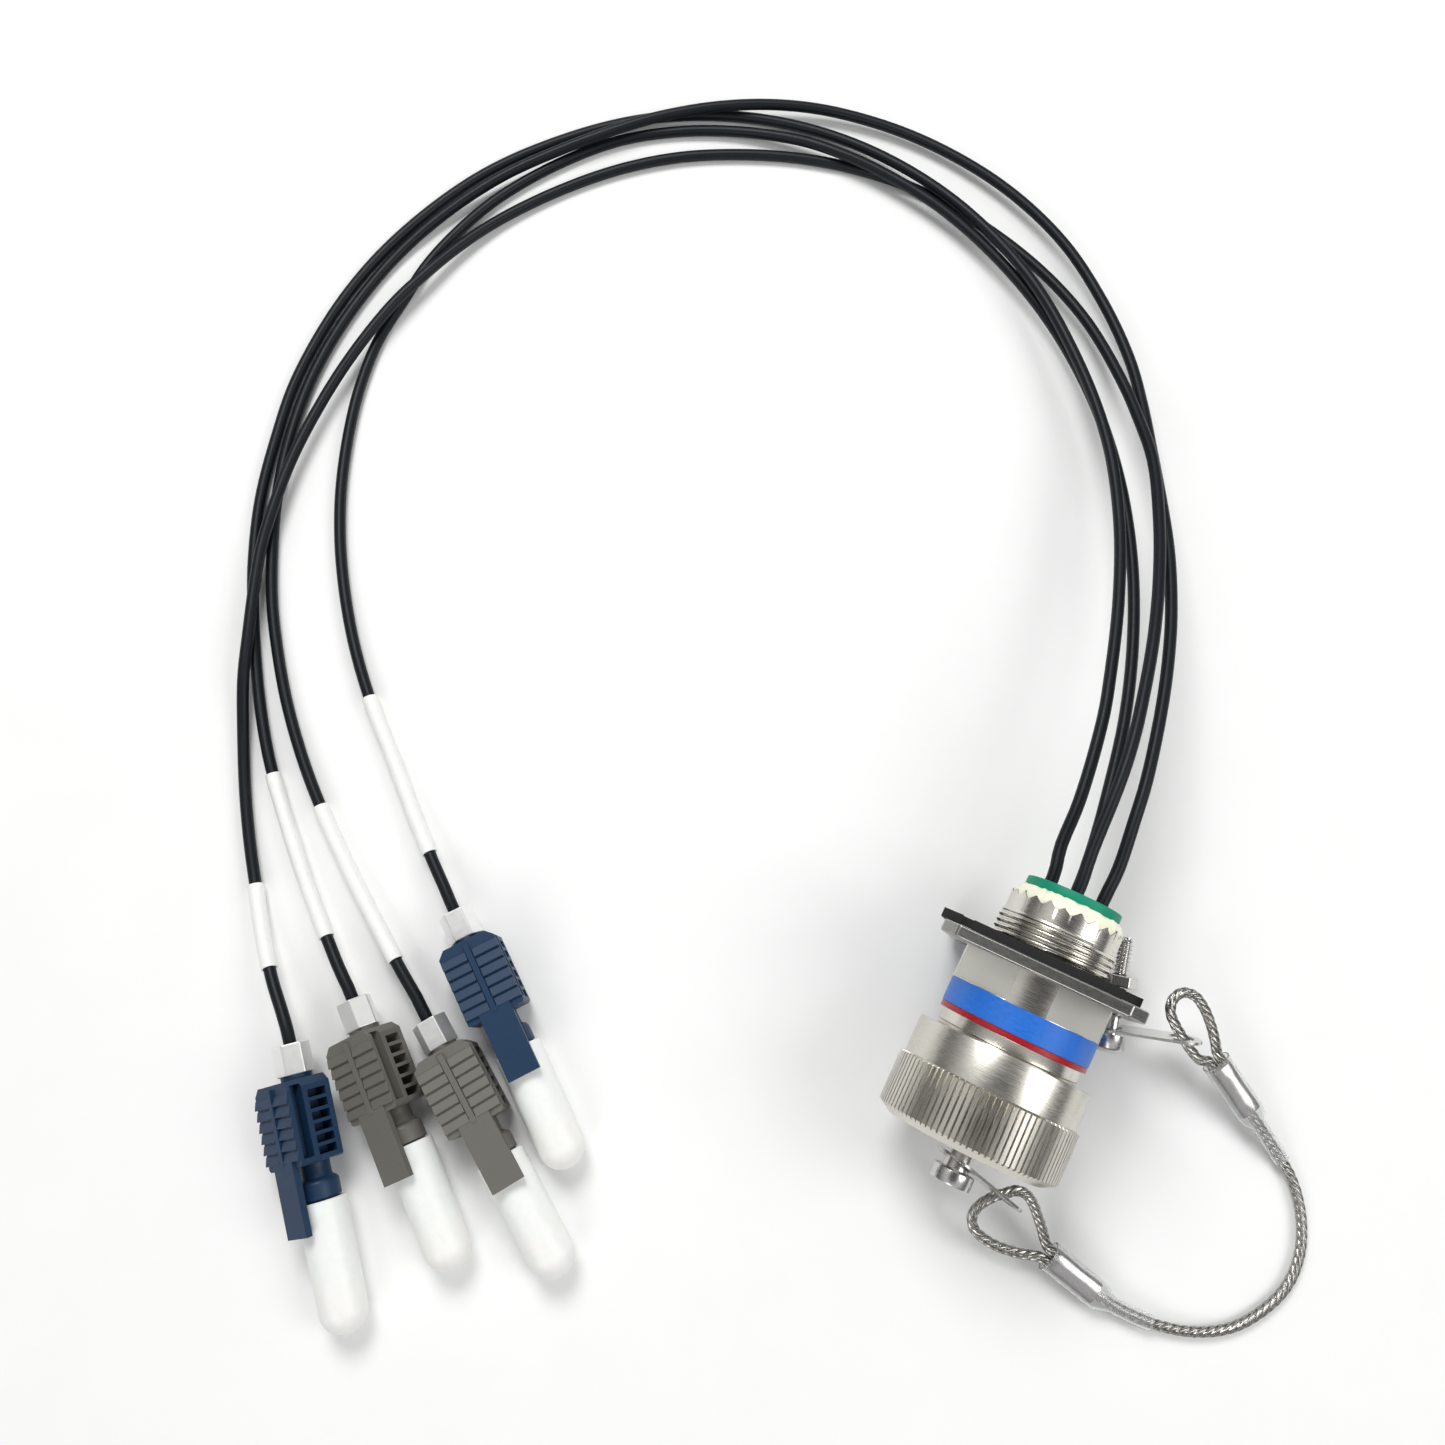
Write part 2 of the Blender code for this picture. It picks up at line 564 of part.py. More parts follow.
def gasket_angles():
    """Angles that hit each corner of the shifted gasket, with even steps between."""
    half, leg, shift = GASKET_SIZE / 2, GASKET_CORNER, GASKET_SHIFT
    corners = []
    for sx in (1, -1):
        for sz in (1, -1):
            corners.append(math.atan2(sz * half, sx * (half - leg) + shift))
            corners.append(math.atan2(sz * (half - leg), sx * half + shift))
    base = sorted(a % (2 * math.pi) for a in corners)
    angles = []
    for first, second in zip(base, base[1:] + [base[0] + 2 * math.pi]):
        count = max(1, int(round((second - first) / math.radians(12))))
        angles += [first + (second - first) * i / count for i in range(count)]
    return angles


def add_cap(frame, holder):
    bore = CAP_BORE_D / 2
    stations = [(CAP_END, 0), (CAP_END, CAP_END_D / 2), (KNURL_FRONT, KNURL_D / 2),
                (KNURL_REAR, KNURL_D / 2), (KNURL_REAR, CAP_SHOULDER_D / 2),
                (CAP_MOUTH, CAP_SHOULDER_D / 2), (CAP_MOUTH, bore), (CAP_BORE_BOTTOM, bore),
                (CAP_BORE_BOTTOM, 0)]
    add_mesh("protective_cap", turned(stations, even_angles(ROUND)), holder, "nickel")
    neck = CAP_END - CLEARANCE
    screw = [(neck, 0), (neck, CAP_NECK_D / 2), (CAP_NECK_END, CAP_NECK_D / 2),
             (CAP_NECK_END, CAP_HEAD_D / 2), (CAP_HEAD_END, CAP_HEAD_D / 2), (CAP_HEAD_END, 0)]
    add_mesh("cap_screw", turned(screw, even_angles(SMALL_ROUND)), holder, "steel")
    turn = Matrix.Rotation(-math.radians(CAP_LUG_TURN_DEG), 4, "Y")
    tilt = Matrix.Rotation(-math.radians(CAP_LUG_TILT_DEG), 4, "Z")
    place = frame @ Matrix.Translation((0.0, CAP_LUG_STATION, 0.0)) @ turn @ tilt
    add_lug("cap_lug", place, CAP_LUG_ROOT_R, CAP_LUG_HOLE_D, CAP_LUG_SPACING)


def add_flange_screw(frame):
    middle = (GASKET_FRONT + GASKET_THICK) / 2
    tilt = Matrix.Rotation(math.radians(SCREW_TILT_DEG), 4, "Z")
    place = frame @ Matrix.Translation((HOLE_OFFSET, middle, -HOLE_OFFSET)) @ tilt
    screw = [(SCREW_HEAD_FRONT, 0), (SCREW_HEAD_FRONT, SCREW_HEAD_D / 2 - 0.8),
             (SCREW_HEAD_FRONT + 0.7, SCREW_HEAD_D / 2), (SCREW_HEAD_REAR, SCREW_HEAD_D / 2),
             (SCREW_HEAD_REAR, SCREW_D / 2), (SCREW_TIP - 0.3, SCREW_D / 2),
             (SCREW_TIP, SCREW_D / 2 - 0.3), (SCREW_TIP, 0)]
    holder = add_holder("flange_screw_place", place)
    add_mesh("flange_screw", turned(screw, even_angles(16)), holder, "steel")
    hex_corner = NUT_ACROSS_FLATS / 2 / math.cos(math.pi / 6)

    def hex_radius(angle):
        return hex_corner * math.cos(math.pi / 6) / math.cos(angle % (math.pi / 3) - math.pi / 6)
    hole = SCREW_D / 2 + CLEARANCE
    nut = [(NUT_FRONT, hole), (NUT_FRONT, hex_radius), (NUT_REAR, hex_radius), (NUT_REAR, hole)]
    add_mesh("flange_nut", turned(nut, even_angles(24), True), holder, "steel")
    lug_turn = Matrix.Rotation(-math.radians(FLANGE_LUG_TURN_DEG), 4, "Y")
    lug_tilt = Matrix.Rotation(math.radians(FLANGE_LUG_TILT_DEG), 4, "Z")
    lug_place = place @ Matrix.Translation((0.0, FLANGE_LUG_STATION, 0.0)) @ lug_turn @ lug_tilt
    add_lug("flange_lug", lug_place, FLANGE_LUG_ROOT_R, FLANGE_LUG_HOLE_D, FLANGE_LUG_SPACING)


def add_lanyard_end(name, ferrule, loop, run):
    """Ferrule from the loop side to the run side, its loop and its clear sleeve."""
    start, end = floor_point(ferrule[0]), floor_point(ferrule[1])
    frame = axis_frame(start, end)
    length = (end - start).length
    outline = [(FERRULE_HALF_WIDTH * math.cos(a), FERRULE_HALF_HEIGHT * math.sin(a))
               for a in even_angles(16)]
    holder = add_holder("ferrule_place_" + name, frame)
    add_mesh("ferrule_" + name, prism(outline, 0.0, length), holder, "ferrule_chrome")
    ends = [frame @ Vector((side * ROPE_SPREAD, -CLEARANCE, 0.0)) for side in (1, -1)]
    backs = [frame @ Vector((side * ROPE_SPREAD, -CLEARANCE - 1.4, 0.0)) for side in (1, -1)]
    inner = [floor_point(p) for p in loop]
    if (ends[0] - inner[0]).length > (ends[1] - inner[0]).length:
        ends.reverse()
        backs.reverse()
    route = [ends[0], backs[0]] + inner + [backs[1], ends[1]]
    add_tube("lanyard_loop_" + name, spaced(smooth_curve(route), 1.6), ROPE_D, "wire_rope")
    wide = (FERRULE_HALF_WIDTH + CLEARANCE + 0.08, FERRULE_HALF_HEIGHT + CLEARANCE + 0.08)
    narrow = (ROPE_SLEEVE_R, ROPE_SLEEVE_R)
    path = [frame @ Vector((0.0, s, 0.0)) for s in (-SLEEVE_OVERHANG, length * 0.5, length + 0.4)]
    path += [Vector(p) for p in run]
    inner_sizes = [wide] * 3 + [narrow] * len(run)
    outer_sizes = [(w + SLEEVE_WALL, h + SLEEVE_WALL) for w, h in inner_sizes]
    points = np.array([tuple(p) for p in path])
    shape = hollow_sleeve(points, inner_sizes, outer_sizes)
    add_mesh("sleeve_" + name, shape, look="clear_sleeve")


def add_lanyard():
    first = axis_frame(floor_point(FLANGE_FERRULE[0]), floor_point(FLANGE_FERRULE[1]))
    first_length = (Vector(FLANGE_FERRULE[1]) - Vector(FLANGE_FERRULE[0])).length
    last = axis_frame(floor_point(CAP_FERRULE[1]), floor_point(CAP_FERRULE[0]))
    last_length = (Vector(CAP_FERRULE[1]) - Vector(CAP_FERRULE[0])).length
    start = first @ Vector((0.0, first_length + CLEARANCE, 0.0))
    end = last @ Vector((0.0, last_length + CLEARANCE, 0.0))
    route = [start] + [floor_point(p) for p in LANYARD_RUN] + [end]
    curve = smooth_curve(route)
    add_tube("lanyard_run", spaced(curve, 3.2), ROPE_D, "wire_rope")
    near = spaced(curve, 1.0)
    add_lanyard_end("flange", FLANGE_FERRULE, FLANGE_LOOP, near[2:12:3])
    cap_side = (CAP_FERRULE[1], CAP_FERRULE[0])
    add_lanyard_end("cap", cap_side, CAP_LOOP, near[::-1][2:12:3])


def housing_shape():
    """Body block whose top plate runs on over the dust cap as a narrower latch arm."""
    half, arm = BODY_WIDTH / 2, ARM_WIDTH / 2
    low = [(x, y, BODY_LOW) for x, y in ((-half, BODY_REAR), (half, BODY_REAR),
                                         (half, BODY_FRONT), (-half, BODY_FRONT))]
    top = [(x, y, BODY_HIGH) for x, y in ((-half, BODY_REAR), (half, BODY_REAR),
                                          (half, BODY_FRONT), (arm, BODY_FRONT),
                                          (arm, ARM_FRONT), (-arm, ARM_FRONT),
                                          (-arm, BODY_FRONT), (-half, BODY_FRONT))]
    under = [(x, y, GROOVE_HIGH) for x, y in ((arm, BODY_FRONT), (arm, ARM_FRONT),
                                              (-arm, ARM_FRONT), (-arm, BODY_FRONT))]
    faces = [(0, 1, 2, 3), (4, 5, 6, 7, 8, 9, 10, 11), (0, 1, 5, 4), (1, 2, 6, 5), (0, 4, 11, 3),
             (3, 2, 6, 7, 12, 15, 10, 11), (12, 13, 14, 15), (7, 8, 13, 12), (8, 9, 14, 13),
             (9, 10, 15, 14)]
    return low + top + under, faces


def add_plug(key):
    start, end, roll = PLUGS[key]
    holder = add_holder("plug_place_" + key, axis_frame(floor_point(start), floor_point(end), roll))
    look = PLUG_FINISH[key]
    corner = CRIMP_CORNERS_D / 2
    outline = [(corner * math.cos(a), corner * math.sin(a)) for a in even_angles(6)]
    add_mesh("crimp_" + key, prism(outline, 0.0, CRIMP_LENGTH), holder, "crimp_metal")
    housing = add_mesh("plug_" + key, housing_shape(), holder, look)
    spine = [(NECK_REAR, 0), (NECK_REAR, REAR_NECK_D / 2), (BODY_REAR + 1.0, REAR_NECK_D / 2),
             (BODY_REAR + 1.0, 0)]
    front = [(BODY_FRONT - 1.0, 0), (BODY_FRONT - 1.0, FRONT_NECK_D / 2),
             (COLLAR_REAR, FRONT_NECK_D / 2), (COLLAR_REAR, COLLAR_D / 2),
             (COLLAR_FRONT, COLLAR_D / 2), (COLLAR_FRONT, NOSE_D / 2),
             (NOSE_FRONT - 0.4, NOSE_D / 2), (NOSE_FRONT, NOSE_D / 2 - 0.4), (NOSE_FRONT, 0)]
    added = joined([turned(spine, even_angles(16)), turned(front, even_angles(SMALL_ROUND))])
    unite(housing, add_mesh("plug_core_" + key, added, holder, look))
    cut(housing, add_mesh("plug_cuts_" + key, plug_cuts(), holder, look))
    bore = DUST_CAP_BORE_D / 2
    outer = DUST_CAP_D / 2
    dome = [(DUST_CAP_END - outer + outer * math.sin(a), outer * math.cos(a))
            for a in (0.0, math.radians(30), math.radians(55), math.radians(75))]
    stations = [(DUST_CAP_BORE_END, 0), (DUST_CAP_BORE_END, bore), (DUST_CAP_REAR, bore),
                (DUST_CAP_REAR, outer)] + dome + [(DUST_CAP_END, 0)]
    add_mesh("dust_cap_" + key, turned(stations, even_angles(SMALL_ROUND)), holder, "cap_white")


def unite(item, other):
    step = item.modifiers.new("unite", "BOOLEAN")
    step.operation = "UNION"
    step.solver = "EXACT"
    step.object = other
    other.hide_render = True
    other.display_type = "WIRE"


def plug_cuts():
    half = BODY_WIDTH / 2
    shapes = []
    for side in (-1, 1):
        reach = half + 1.0
        deep = sorted((side * (half - GROOVE_DEPTH), side * reach))
        shapes.append(box((deep[0], GROOVE_REAR, GROOVE_LOW), (deep[1], GROOVE_FRONT, GROOVE_HIGH)))
        shallow = sorted((side * (half - WINDOW_DEPTH), side * reach))
        across = sorted((side * LINE_INNER, side * LINE_OUTER))
        for row in range(SIDE_ROWS):
            near = WINDOW_FIRST + WINDOW_PITCH * row
            shapes.append(box((shallow[0], near, WINDOW_LOW),
                              (shallow[1], near + WINDOW_LENGTH, WINDOW_HIGH)))
            line = LINE_FIRST + LINE_PITCH * row
            shapes.append(box((across[0], line, BODY_HIGH - LINE_DEPTH),
                              (across[1], line + LINE_WIDTH, BODY_HIGH + 1.0)))
    return joined(shapes)


def add_cable(key, frame):
    x, z = EXITS[key]
    exit_points = [frame @ Vector((x, INSERT_REAR + CABLE_END_GAP + s, z))
                   for s in (0.0, CABLE_STRAIGHT)]
    start, end, _ = PLUGS[key]
    rear, tip = floor_point(start), floor_point(end)
    forward = (tip - rear).normalized()
    end_points = [rear - forward * (CABLE_END_GAP + s) for s in (CABLE_STRAIGHT, 0.0)]
    route = exit_points + [floor_point(p) for p in ROUTES[key]] + end_points
    curve = smooth_curve(route)
    add_tube("cable_" + key, spaced(curve, CABLE_STEP), CABLE_D, "cable_black")
    ends = [np.array(floor_point(p)) for p in LABELS[key]]
    low, high = [int(np.argmin(np.linalg.norm(curve - p, axis=1))) for p in ends]
    points = spaced(curve[low:high + 1], 3.0)
    bore = [(LABEL_BORE_R, LABEL_BORE_R)] * len(points)
    outer = [(LABEL_R, LABEL_R)] * len(points)
    add_mesh("label_" + key, hollow_sleeve(points, bore, outer, 8), look="label_white")


def build():
    clear_scene()
    frame = connector_frame()
    holder = add_holder("connector_place", frame)
    add_receptacle(holder)
    add_cap(frame, holder)
    add_flange_screw(frame)
    add_lanyard()
    for key in ("a", "b", "c", "d"):
        add_plug(key)
        add_cable(key, frame)


build()
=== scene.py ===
"""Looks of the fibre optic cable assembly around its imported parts.

Sizes are in millimetres and are turned into metres once, where a mesh, curve or place is
written. The connector frame has +Y along its axis toward the cables; a plug frame has +Y
toward its dust cap.
"""
import json
import math
import random

import bmesh
import bpy
import numpy as np
from mathutils import Matrix, Vector

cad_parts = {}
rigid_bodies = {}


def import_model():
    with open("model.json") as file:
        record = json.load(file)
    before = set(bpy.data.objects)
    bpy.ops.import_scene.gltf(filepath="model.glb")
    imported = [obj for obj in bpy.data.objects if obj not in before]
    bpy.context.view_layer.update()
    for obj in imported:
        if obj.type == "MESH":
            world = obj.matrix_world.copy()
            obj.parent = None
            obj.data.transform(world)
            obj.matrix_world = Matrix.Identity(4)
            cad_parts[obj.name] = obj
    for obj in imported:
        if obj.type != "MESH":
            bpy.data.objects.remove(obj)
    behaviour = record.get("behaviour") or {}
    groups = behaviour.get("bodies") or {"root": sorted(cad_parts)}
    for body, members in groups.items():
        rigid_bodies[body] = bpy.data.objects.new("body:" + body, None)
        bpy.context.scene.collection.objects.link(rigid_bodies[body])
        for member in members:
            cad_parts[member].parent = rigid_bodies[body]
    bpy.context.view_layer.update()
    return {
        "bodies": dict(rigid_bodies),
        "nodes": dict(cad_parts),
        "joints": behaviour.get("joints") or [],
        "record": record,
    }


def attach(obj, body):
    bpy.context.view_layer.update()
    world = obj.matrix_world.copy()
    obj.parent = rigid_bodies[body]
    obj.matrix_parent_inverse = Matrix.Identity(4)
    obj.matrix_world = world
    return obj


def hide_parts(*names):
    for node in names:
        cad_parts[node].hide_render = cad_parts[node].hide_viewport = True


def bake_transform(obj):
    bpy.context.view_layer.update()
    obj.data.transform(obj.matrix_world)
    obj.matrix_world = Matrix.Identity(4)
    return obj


MM = 0.001

# How the connector lies
CONNECTOR_X = -5.353
CONNECTOR_Y = 9.97
AXIS_HEIGHT = 18.94
ROLL_DEG = 10.2
REAR_LIFT_DEG = 7.15
TURN_DEG = -1.39
SHIFT_X = -0.29
SHIFT_Y = 0.1

# Receptacle, stations along the axis from the flange front face, rear is positive
INSERT_REAR = 14.8
INSERT_FRONT = 12.8
INSERT_R = 8.18
SLEEVE_R = 9.65
SLEEVE_TEETH = 23
TOOTH_VALLEY = 10.8
THREAD_REAR = 8.4
THREAD_R = 10.2
THREAD_PITCH = 1.0
THREAD_DEPTH = 0.5
FLANGE_SIZE = 33.6
FLANGE_THICK = 2.05
FLANGE_CORNER = 2.7
HOLE_OFFSET = 13.4
HOLE_D = 4.2
BODY_R = 12.7
FLATS_FRONT = -5.65
FLAT_START_DEG = 15.0
BLUE_FRONT = -9.9
RED_FRONT = -10.9
RED_R = 12.6
BARREL_R = 12.0
BARREL_FRONT = -20.2
CAVITY_R = 10.1
CAVITY_BOTTOM = -8.0

SOCKET_INSERT_DEPTH = 3.2
CONTACT_HOLE_R = 1.2
GROOVE_BEHIND_RED = 2.0

# Potting resin from torn edge to insert: station, radius, and the wave of each
POTTING = ((10.2, 9.15, 0, 0), (10.9, 9.45, 0, 0), (11.6, 9.43, 0, 1.0), (12.2, 9.2, 0, 1.0),
           (12.85, 8.8, 1.6, 0.8), (13.25, 8.35, 1.2, 0), (13.1, 8.0, 0, 0))

# Gasket behind the flange
GASKET_SIZE = 33.0
GASKET_CORNER = 3.2
GASKET_SHIFT = -1.2
GASKET_FRONT = 2.1
GASKET_REAR = 3.6

# Protective cap and its screw
CAP_MOUTH = -13.75
CAP_TIP_STATION = -17.0
CAP_TIP_DEG = 3.0
CAP_SHOULDER_R = 14.85
CAP_BORE_R = 12.35
CAP_BORE_BOTTOM = -28.3
KNURL_REAR = -20.0
KNURL_FRONT = -29.2
KNURL_R = 15.55
KNURL_FLUTES = 96
KNURL_DEPTH = 0.55
CAP_END = -30.2
CAP_END_R = 13.6
NECK_R = 2.2
HEAD_REAR = -33.9
HEAD_FRONT = -36.3
HEAD_R = 3.5

# Lanyard lugs, flat plates with two holes
LUG_THICK = 0.5
CAP_LUG_SPACING = 11.7
CAP_LUG_ROOT_R = 3.9
CAP_LUG_HOLE_D = 5.5
CAP_LUG_STATION = -32.6
CAP_LUG_TURN_DEG = -37.5
CAP_LUG_TILT_DEG = 12.5
FLANGE_LUG_SPACING = 11.66
FLANGE_LUG_ROOT_R = 3.1
FLANGE_LUG_HOLE_D = 3.6
FLANGE_LUG_TILT_DEG = 4.4
FLANGE_LUG_TURN_DEG = -3.1
FLANGE_LUG_STATION = -4.3
FLANGE_LUG_ROLL_DEG = 10.0
EYE_R = 3.4
EYE_D = 4.2

# Loose screw and nut in the lower right flange hole
SCREW_MIDDLE = 1.78
SCREW_TILT_DEG = 13.0
SCREW_R = 1.35
SCREW_TIP = 11.4
SCREW_HEAD_R = 2.7
SCREW_HEAD_REAR = -5.3
SCREW_HEAD_FRONT = -8.4
SCREW_THREAD_DEPTH = 0.38
SCREW_THREAD_PITCH = 0.7
RECESS_REACH = 1.5
RECESS_HALF_WIDTH = 0.3
RECESS_DEPTH = 1.1
NUT_FRONT = 2.8
NUT_REAR = 4.8
NUT_ACROSS_FLATS = 5.5

# Wire rope lanyard
ROPE_D = 1.8
ROPE_LAY = 9.0
ROPE_STRANDS = 6
ROPE_SPREAD = 1.05
FERRULE_HALF_WIDTH = 2.05
FERRULE_HALF_HEIGHT = 1.4
SLEEVE_WALL = 0.22
SLEEVE_HALF_WIDTH = 2.28
SLEEVE_HALF_HEIGHT = 1.68
SLEEVE_ON_ROPE_R = 1.12
SLEEVE_FLARE = 0.12

# Cables and labels
CABLE_D = 2.2
LABEL_R = 1.42
LABEL_BORE_R = 1.17

# Plug, stations from the rear of the crimp ring toward the dust cap
CRIMP_LENGTH = 5.3
CRIMP_CORNER_R = 3.2
BODY_REAR = 6.1
BODY_FRONT = 20.1
BODY_HALF = 5.2
BODY_CHAMFER = 1.3
BODY_LOW = -2.65
BODY_TOP = 5.3
RIB_TOP = 5.85
GROOVE_LOW = 2.65
GROOVE_HIGH = 4.65
GROOVE_REAR = 6.9
GROOVE_FRONT = 19.0
GROOVE_DEPTH = 2.6
WINDOW_LOW = -1.7
WINDOW_HIGH = 1.7
WINDOW_LENGTH = 1.3
WINDOW_PITCH = 1.9
WINDOW_FIRST = 8.3
WINDOW_DEPTH = 3.0
RIB_PITCH = 1.88
RIB_FIRST = 8.0
RIB_ROWS = 6
ARM_HALF = 2.9
ARM_FRONT = 31.3
ARM_LOW = 4.55
REAR_NECK_R = 2.65
FRONT_NECK_R = 2.7
COLLAR_REAR = 22.9
COLLAR_FRONT = 26.2
COLLAR_R = 3.5
NOSE_R = 3.1
NOSE_FRONT = 38.0
DUST_CAP_R = 4.2
DUST_CAP_BORE_R = 3.4
DUST_CAP_REAR = 26.5
DUST_CAP_BORE_END = 38.9
DUST_CAP_END = 48.5

# Camera of the photograph
CAMERA_PLACE = (-49.25, -20.33, 240.4)
CAMERA_RIGHT = (0.9125, 0.4091, 0.0)
CAMERA_UP = (-0.3978, 0.8873, 0.2334)
CAMERA_LENS = 32.84

# Route of each cable, relative to the floor point under the flange front face
ROUTES = {
    "a": [(-4.9, 21.4, 20.3), (-4.9, 30.1, 21.0), (-6.1, 45.0, 20.4), (-7.3, 52.6, 19.3),
          (-10.5, 68.3, 16.4), (-15.3, 84.2, 13.4), (-22.6, 99.8, 10.7), (-33.5, 114.7, 8.2),
          (-48.2, 128.6, 6.6), (-67.2, 139.6, 4.6), (-86.8, 145.1, 2.8), (-104.9, 145.4, 1.7),
          (-121.4, 141.4, 1.2), (-136.3, 133.5, 1.2), (-149.4, 122.1, 1.2), (-160.8, 107.7, 1.2),
          (-169.5, 88.5, 1.2), (-173.3, 71.2, 1.2), (-173.5, 51.7, 1.2), (-171.0, 38.3, 1.2),
          (-167.6, 25.9, 1.2), (-162.8, 14.5, 1.2), (-159.0, 7.4, 1.2), (-154.9, 0.5, 1.2),
          (-148.3, -9.4, 1.35), (-141.2, -18.4, 1.8), (-134.1, -25.9, 1.85), (-125.8, -33.9, 2.4),
          (-117.0, -41.5, 3.7), (-110.2, -47.0, 4.9)],
    "b": [(1.0, 21.5, 16.4), (0.6, 27.0, 16.7), (0.0, 33.3, 16.6), (-1.7, 48.5, 15.0),
          (-5.0, 63.8, 12.9), (-10.1, 79.0, 10.9), (-17.5, 94.1, 8.9), (-27.5, 108.9, 6.4),
          (-41.3, 122.8, 4.2), (-55.3, 131.7, 3.8), (-70.9, 138.1, 3.8), (-85.3, 141.0, 3.7),
          (-94.4, 141.6, 3.6), (-103.3, 141.6, 2.8), (-115.9, 139.2, 1.6), (-127.5, 134.4, 1.2),
          (-138.0, 127.3, 1.2), (-147.1, 117.3, 1.2), (-154.9, 105.1, 1.2), (-159.0, 94.9, 1.2),
          (-161.4, 85.2, 1.2), (-162.1, 75.9, 1.2), (-162.6, 65.9, 1.2), (-161.5, 56.8, 1.2),
          (-159.4, 48.2, 1.2), (-155.1, 36.1, 1.2), (-150.6, 26.8, 1.2), (-145.2, 18.0, 1.2),
          (-137.8, 8.2, 1.5), (-129.3, -0.9, 1.85), (-120.0, -9.3, 1.9), (-111.7, -16.9, 2.4),
          (-104.3, -23.2, 3.6), (-99.5, -27.1, 4.2)],
    "c": [(-1.0, 20.9, 26.2), (-1.0, 34.4, 27.0), (-1.3, 41.8, 26.5), (-2.0, 49.3, 25.3),
          (-3.5, 61.0, 23.0), (-5.8, 73.1, 20.0), (-9.1, 85.6, 16.6), (-13.7, 98.3, 13.0),
          (-18.4, 106.5, 10.1), (-24.2, 114.6, 7.6), (-34.9, 125.8, 4.6), (-47.1, 133.7, 2.8),
          (-62.1, 139.4, 1.6), (-76.3, 141.8, 1.2), (-89.6, 141.3, 1.2), (-102.0, 138.8, 1.2),
          (-113.8, 134.5, 1.2), (-124.9, 128.8, 1.2), (-135.1, 121.1, 1.2), (-144.3, 111.5, 1.2),
          (-152.4, 100.1, 1.6), (-156.8, 90.9, 2.4), (-159.9, 81.6, 3.4), (-162.1, 74.2, 3.8),
          (-163.7, 66.4, 3.8), (-165.1, 55.9, 3.5), (-165.4, 44.2, 3.5), (-164.8, 34.5, 3.7),
          (-163.4, 25.5, 3.8), (-161.6, 17.4, 3.8), (-158.6, 8.8, 3.8), (-155.5, 1.1, 3.8),
          (-152.2, -7.2, 3.3), (-148.1, -15.7, 1.8), (-142.4, -25.6, 1.3), (-137.1, -33.4, 1.5),
          (-132.0, -40.1, 1.9), (-126.5, -46.9, 2.9), (-120.4, -53.3, 4.6), (-115.6, -57.5, 5.9)],
    "d": [(4.8, 21.2, 22.3), (4.3, 30.2, 22.9), (3.9, 37.5, 22.6), (2.1, 52.5, 20.7),
          (0.0, 64.1, 18.5), (-2.0, 71.9, 16.9), (-5.3, 81.7, 14.9), (-9.5, 91.5, 12.6),
          (-14.1, 102.0, 9.5), (-18.6, 111.6, 7.0), (-24.0, 120.7, 5.4), (-33.5, 131.6, 4.1),
          (-45.7, 141.4, 3.5), (-61.8, 148.7, 3.0), (-81.0, 152.3, 2.4), (-98.4, 151.1, 2.6),
          (-110.4, 147.4, 3.2), (-121.5, 141.6, 3.7), (-131.9, 134.2, 3.8), (-138.3, 128.4, 3.7),
          (-147.6, 118.8, 3.3), (-156.3, 108.1, 2.8), (-163.8, 95.2, 1.8), (-168.4, 82.7, 1.2),
          (-170.9, 66.6, 1.2), (-170.8, 52.3, 1.2), (-168.5, 39.3, 1.2), (-165.1, 28.2, 1.2),
          (-160.5, 17.8, 1.2), (-155.7, 8.9, 1.2), (-151.2, 2.2, 1.2), (-143.7, -7.4, 1.3),
          (-135.3, -16.2, 1.6), (-127.3, -23.3, 1.85), (-118.0, -30.6, 1.95), (-109.6, -36.6, 2.6),
          (-100.8, -42.6, 3.8), (-94.9, -46.4, 4.25)],
}

# Where each cable leaves the insert, in the connector frame (x, z)
EXITS = {"a": (-4.44, 0.22), "b": (0.06, -3.84), "c": (0.06, 5.07), "d": (4.44, 0.24)}

# Plug rear, dust cap end (floor point frame) and roll about the plug axis in degrees
PLUGS = {
    "a": ((-105.48, -50.67, 5.3), (-69.61, -82.58, 4.25), 28.0),
    "b": ((-96.36, -29.73, 4.3), (-59.65, -59.45, 4.3), 0.0),
    "c": ((-111.64, -61.56, 6.4), (-82.2, -97.58, 4.25), 42.0),
    "d": ((-92.15, -48.45, 4.3), (-52.09, -76.77, 4.3), 0.0),
}

# Label sleeve on each cable, start and end
LABELS = {
    "a": ((-139.0, -20.8, 1.7), (-115.2, -43.0, 3.8)),
    "b": ((-129.5, -0.7, 1.85), (-105.5, -22.2, 3.2)),
    "c": ((-132.0, -40.1, 1.7), (-121.5, -51.8, 3.8)),
    "d": ((-128.3, -22.6, 1.7), (-102.8, -42.3, 3.4)),
}

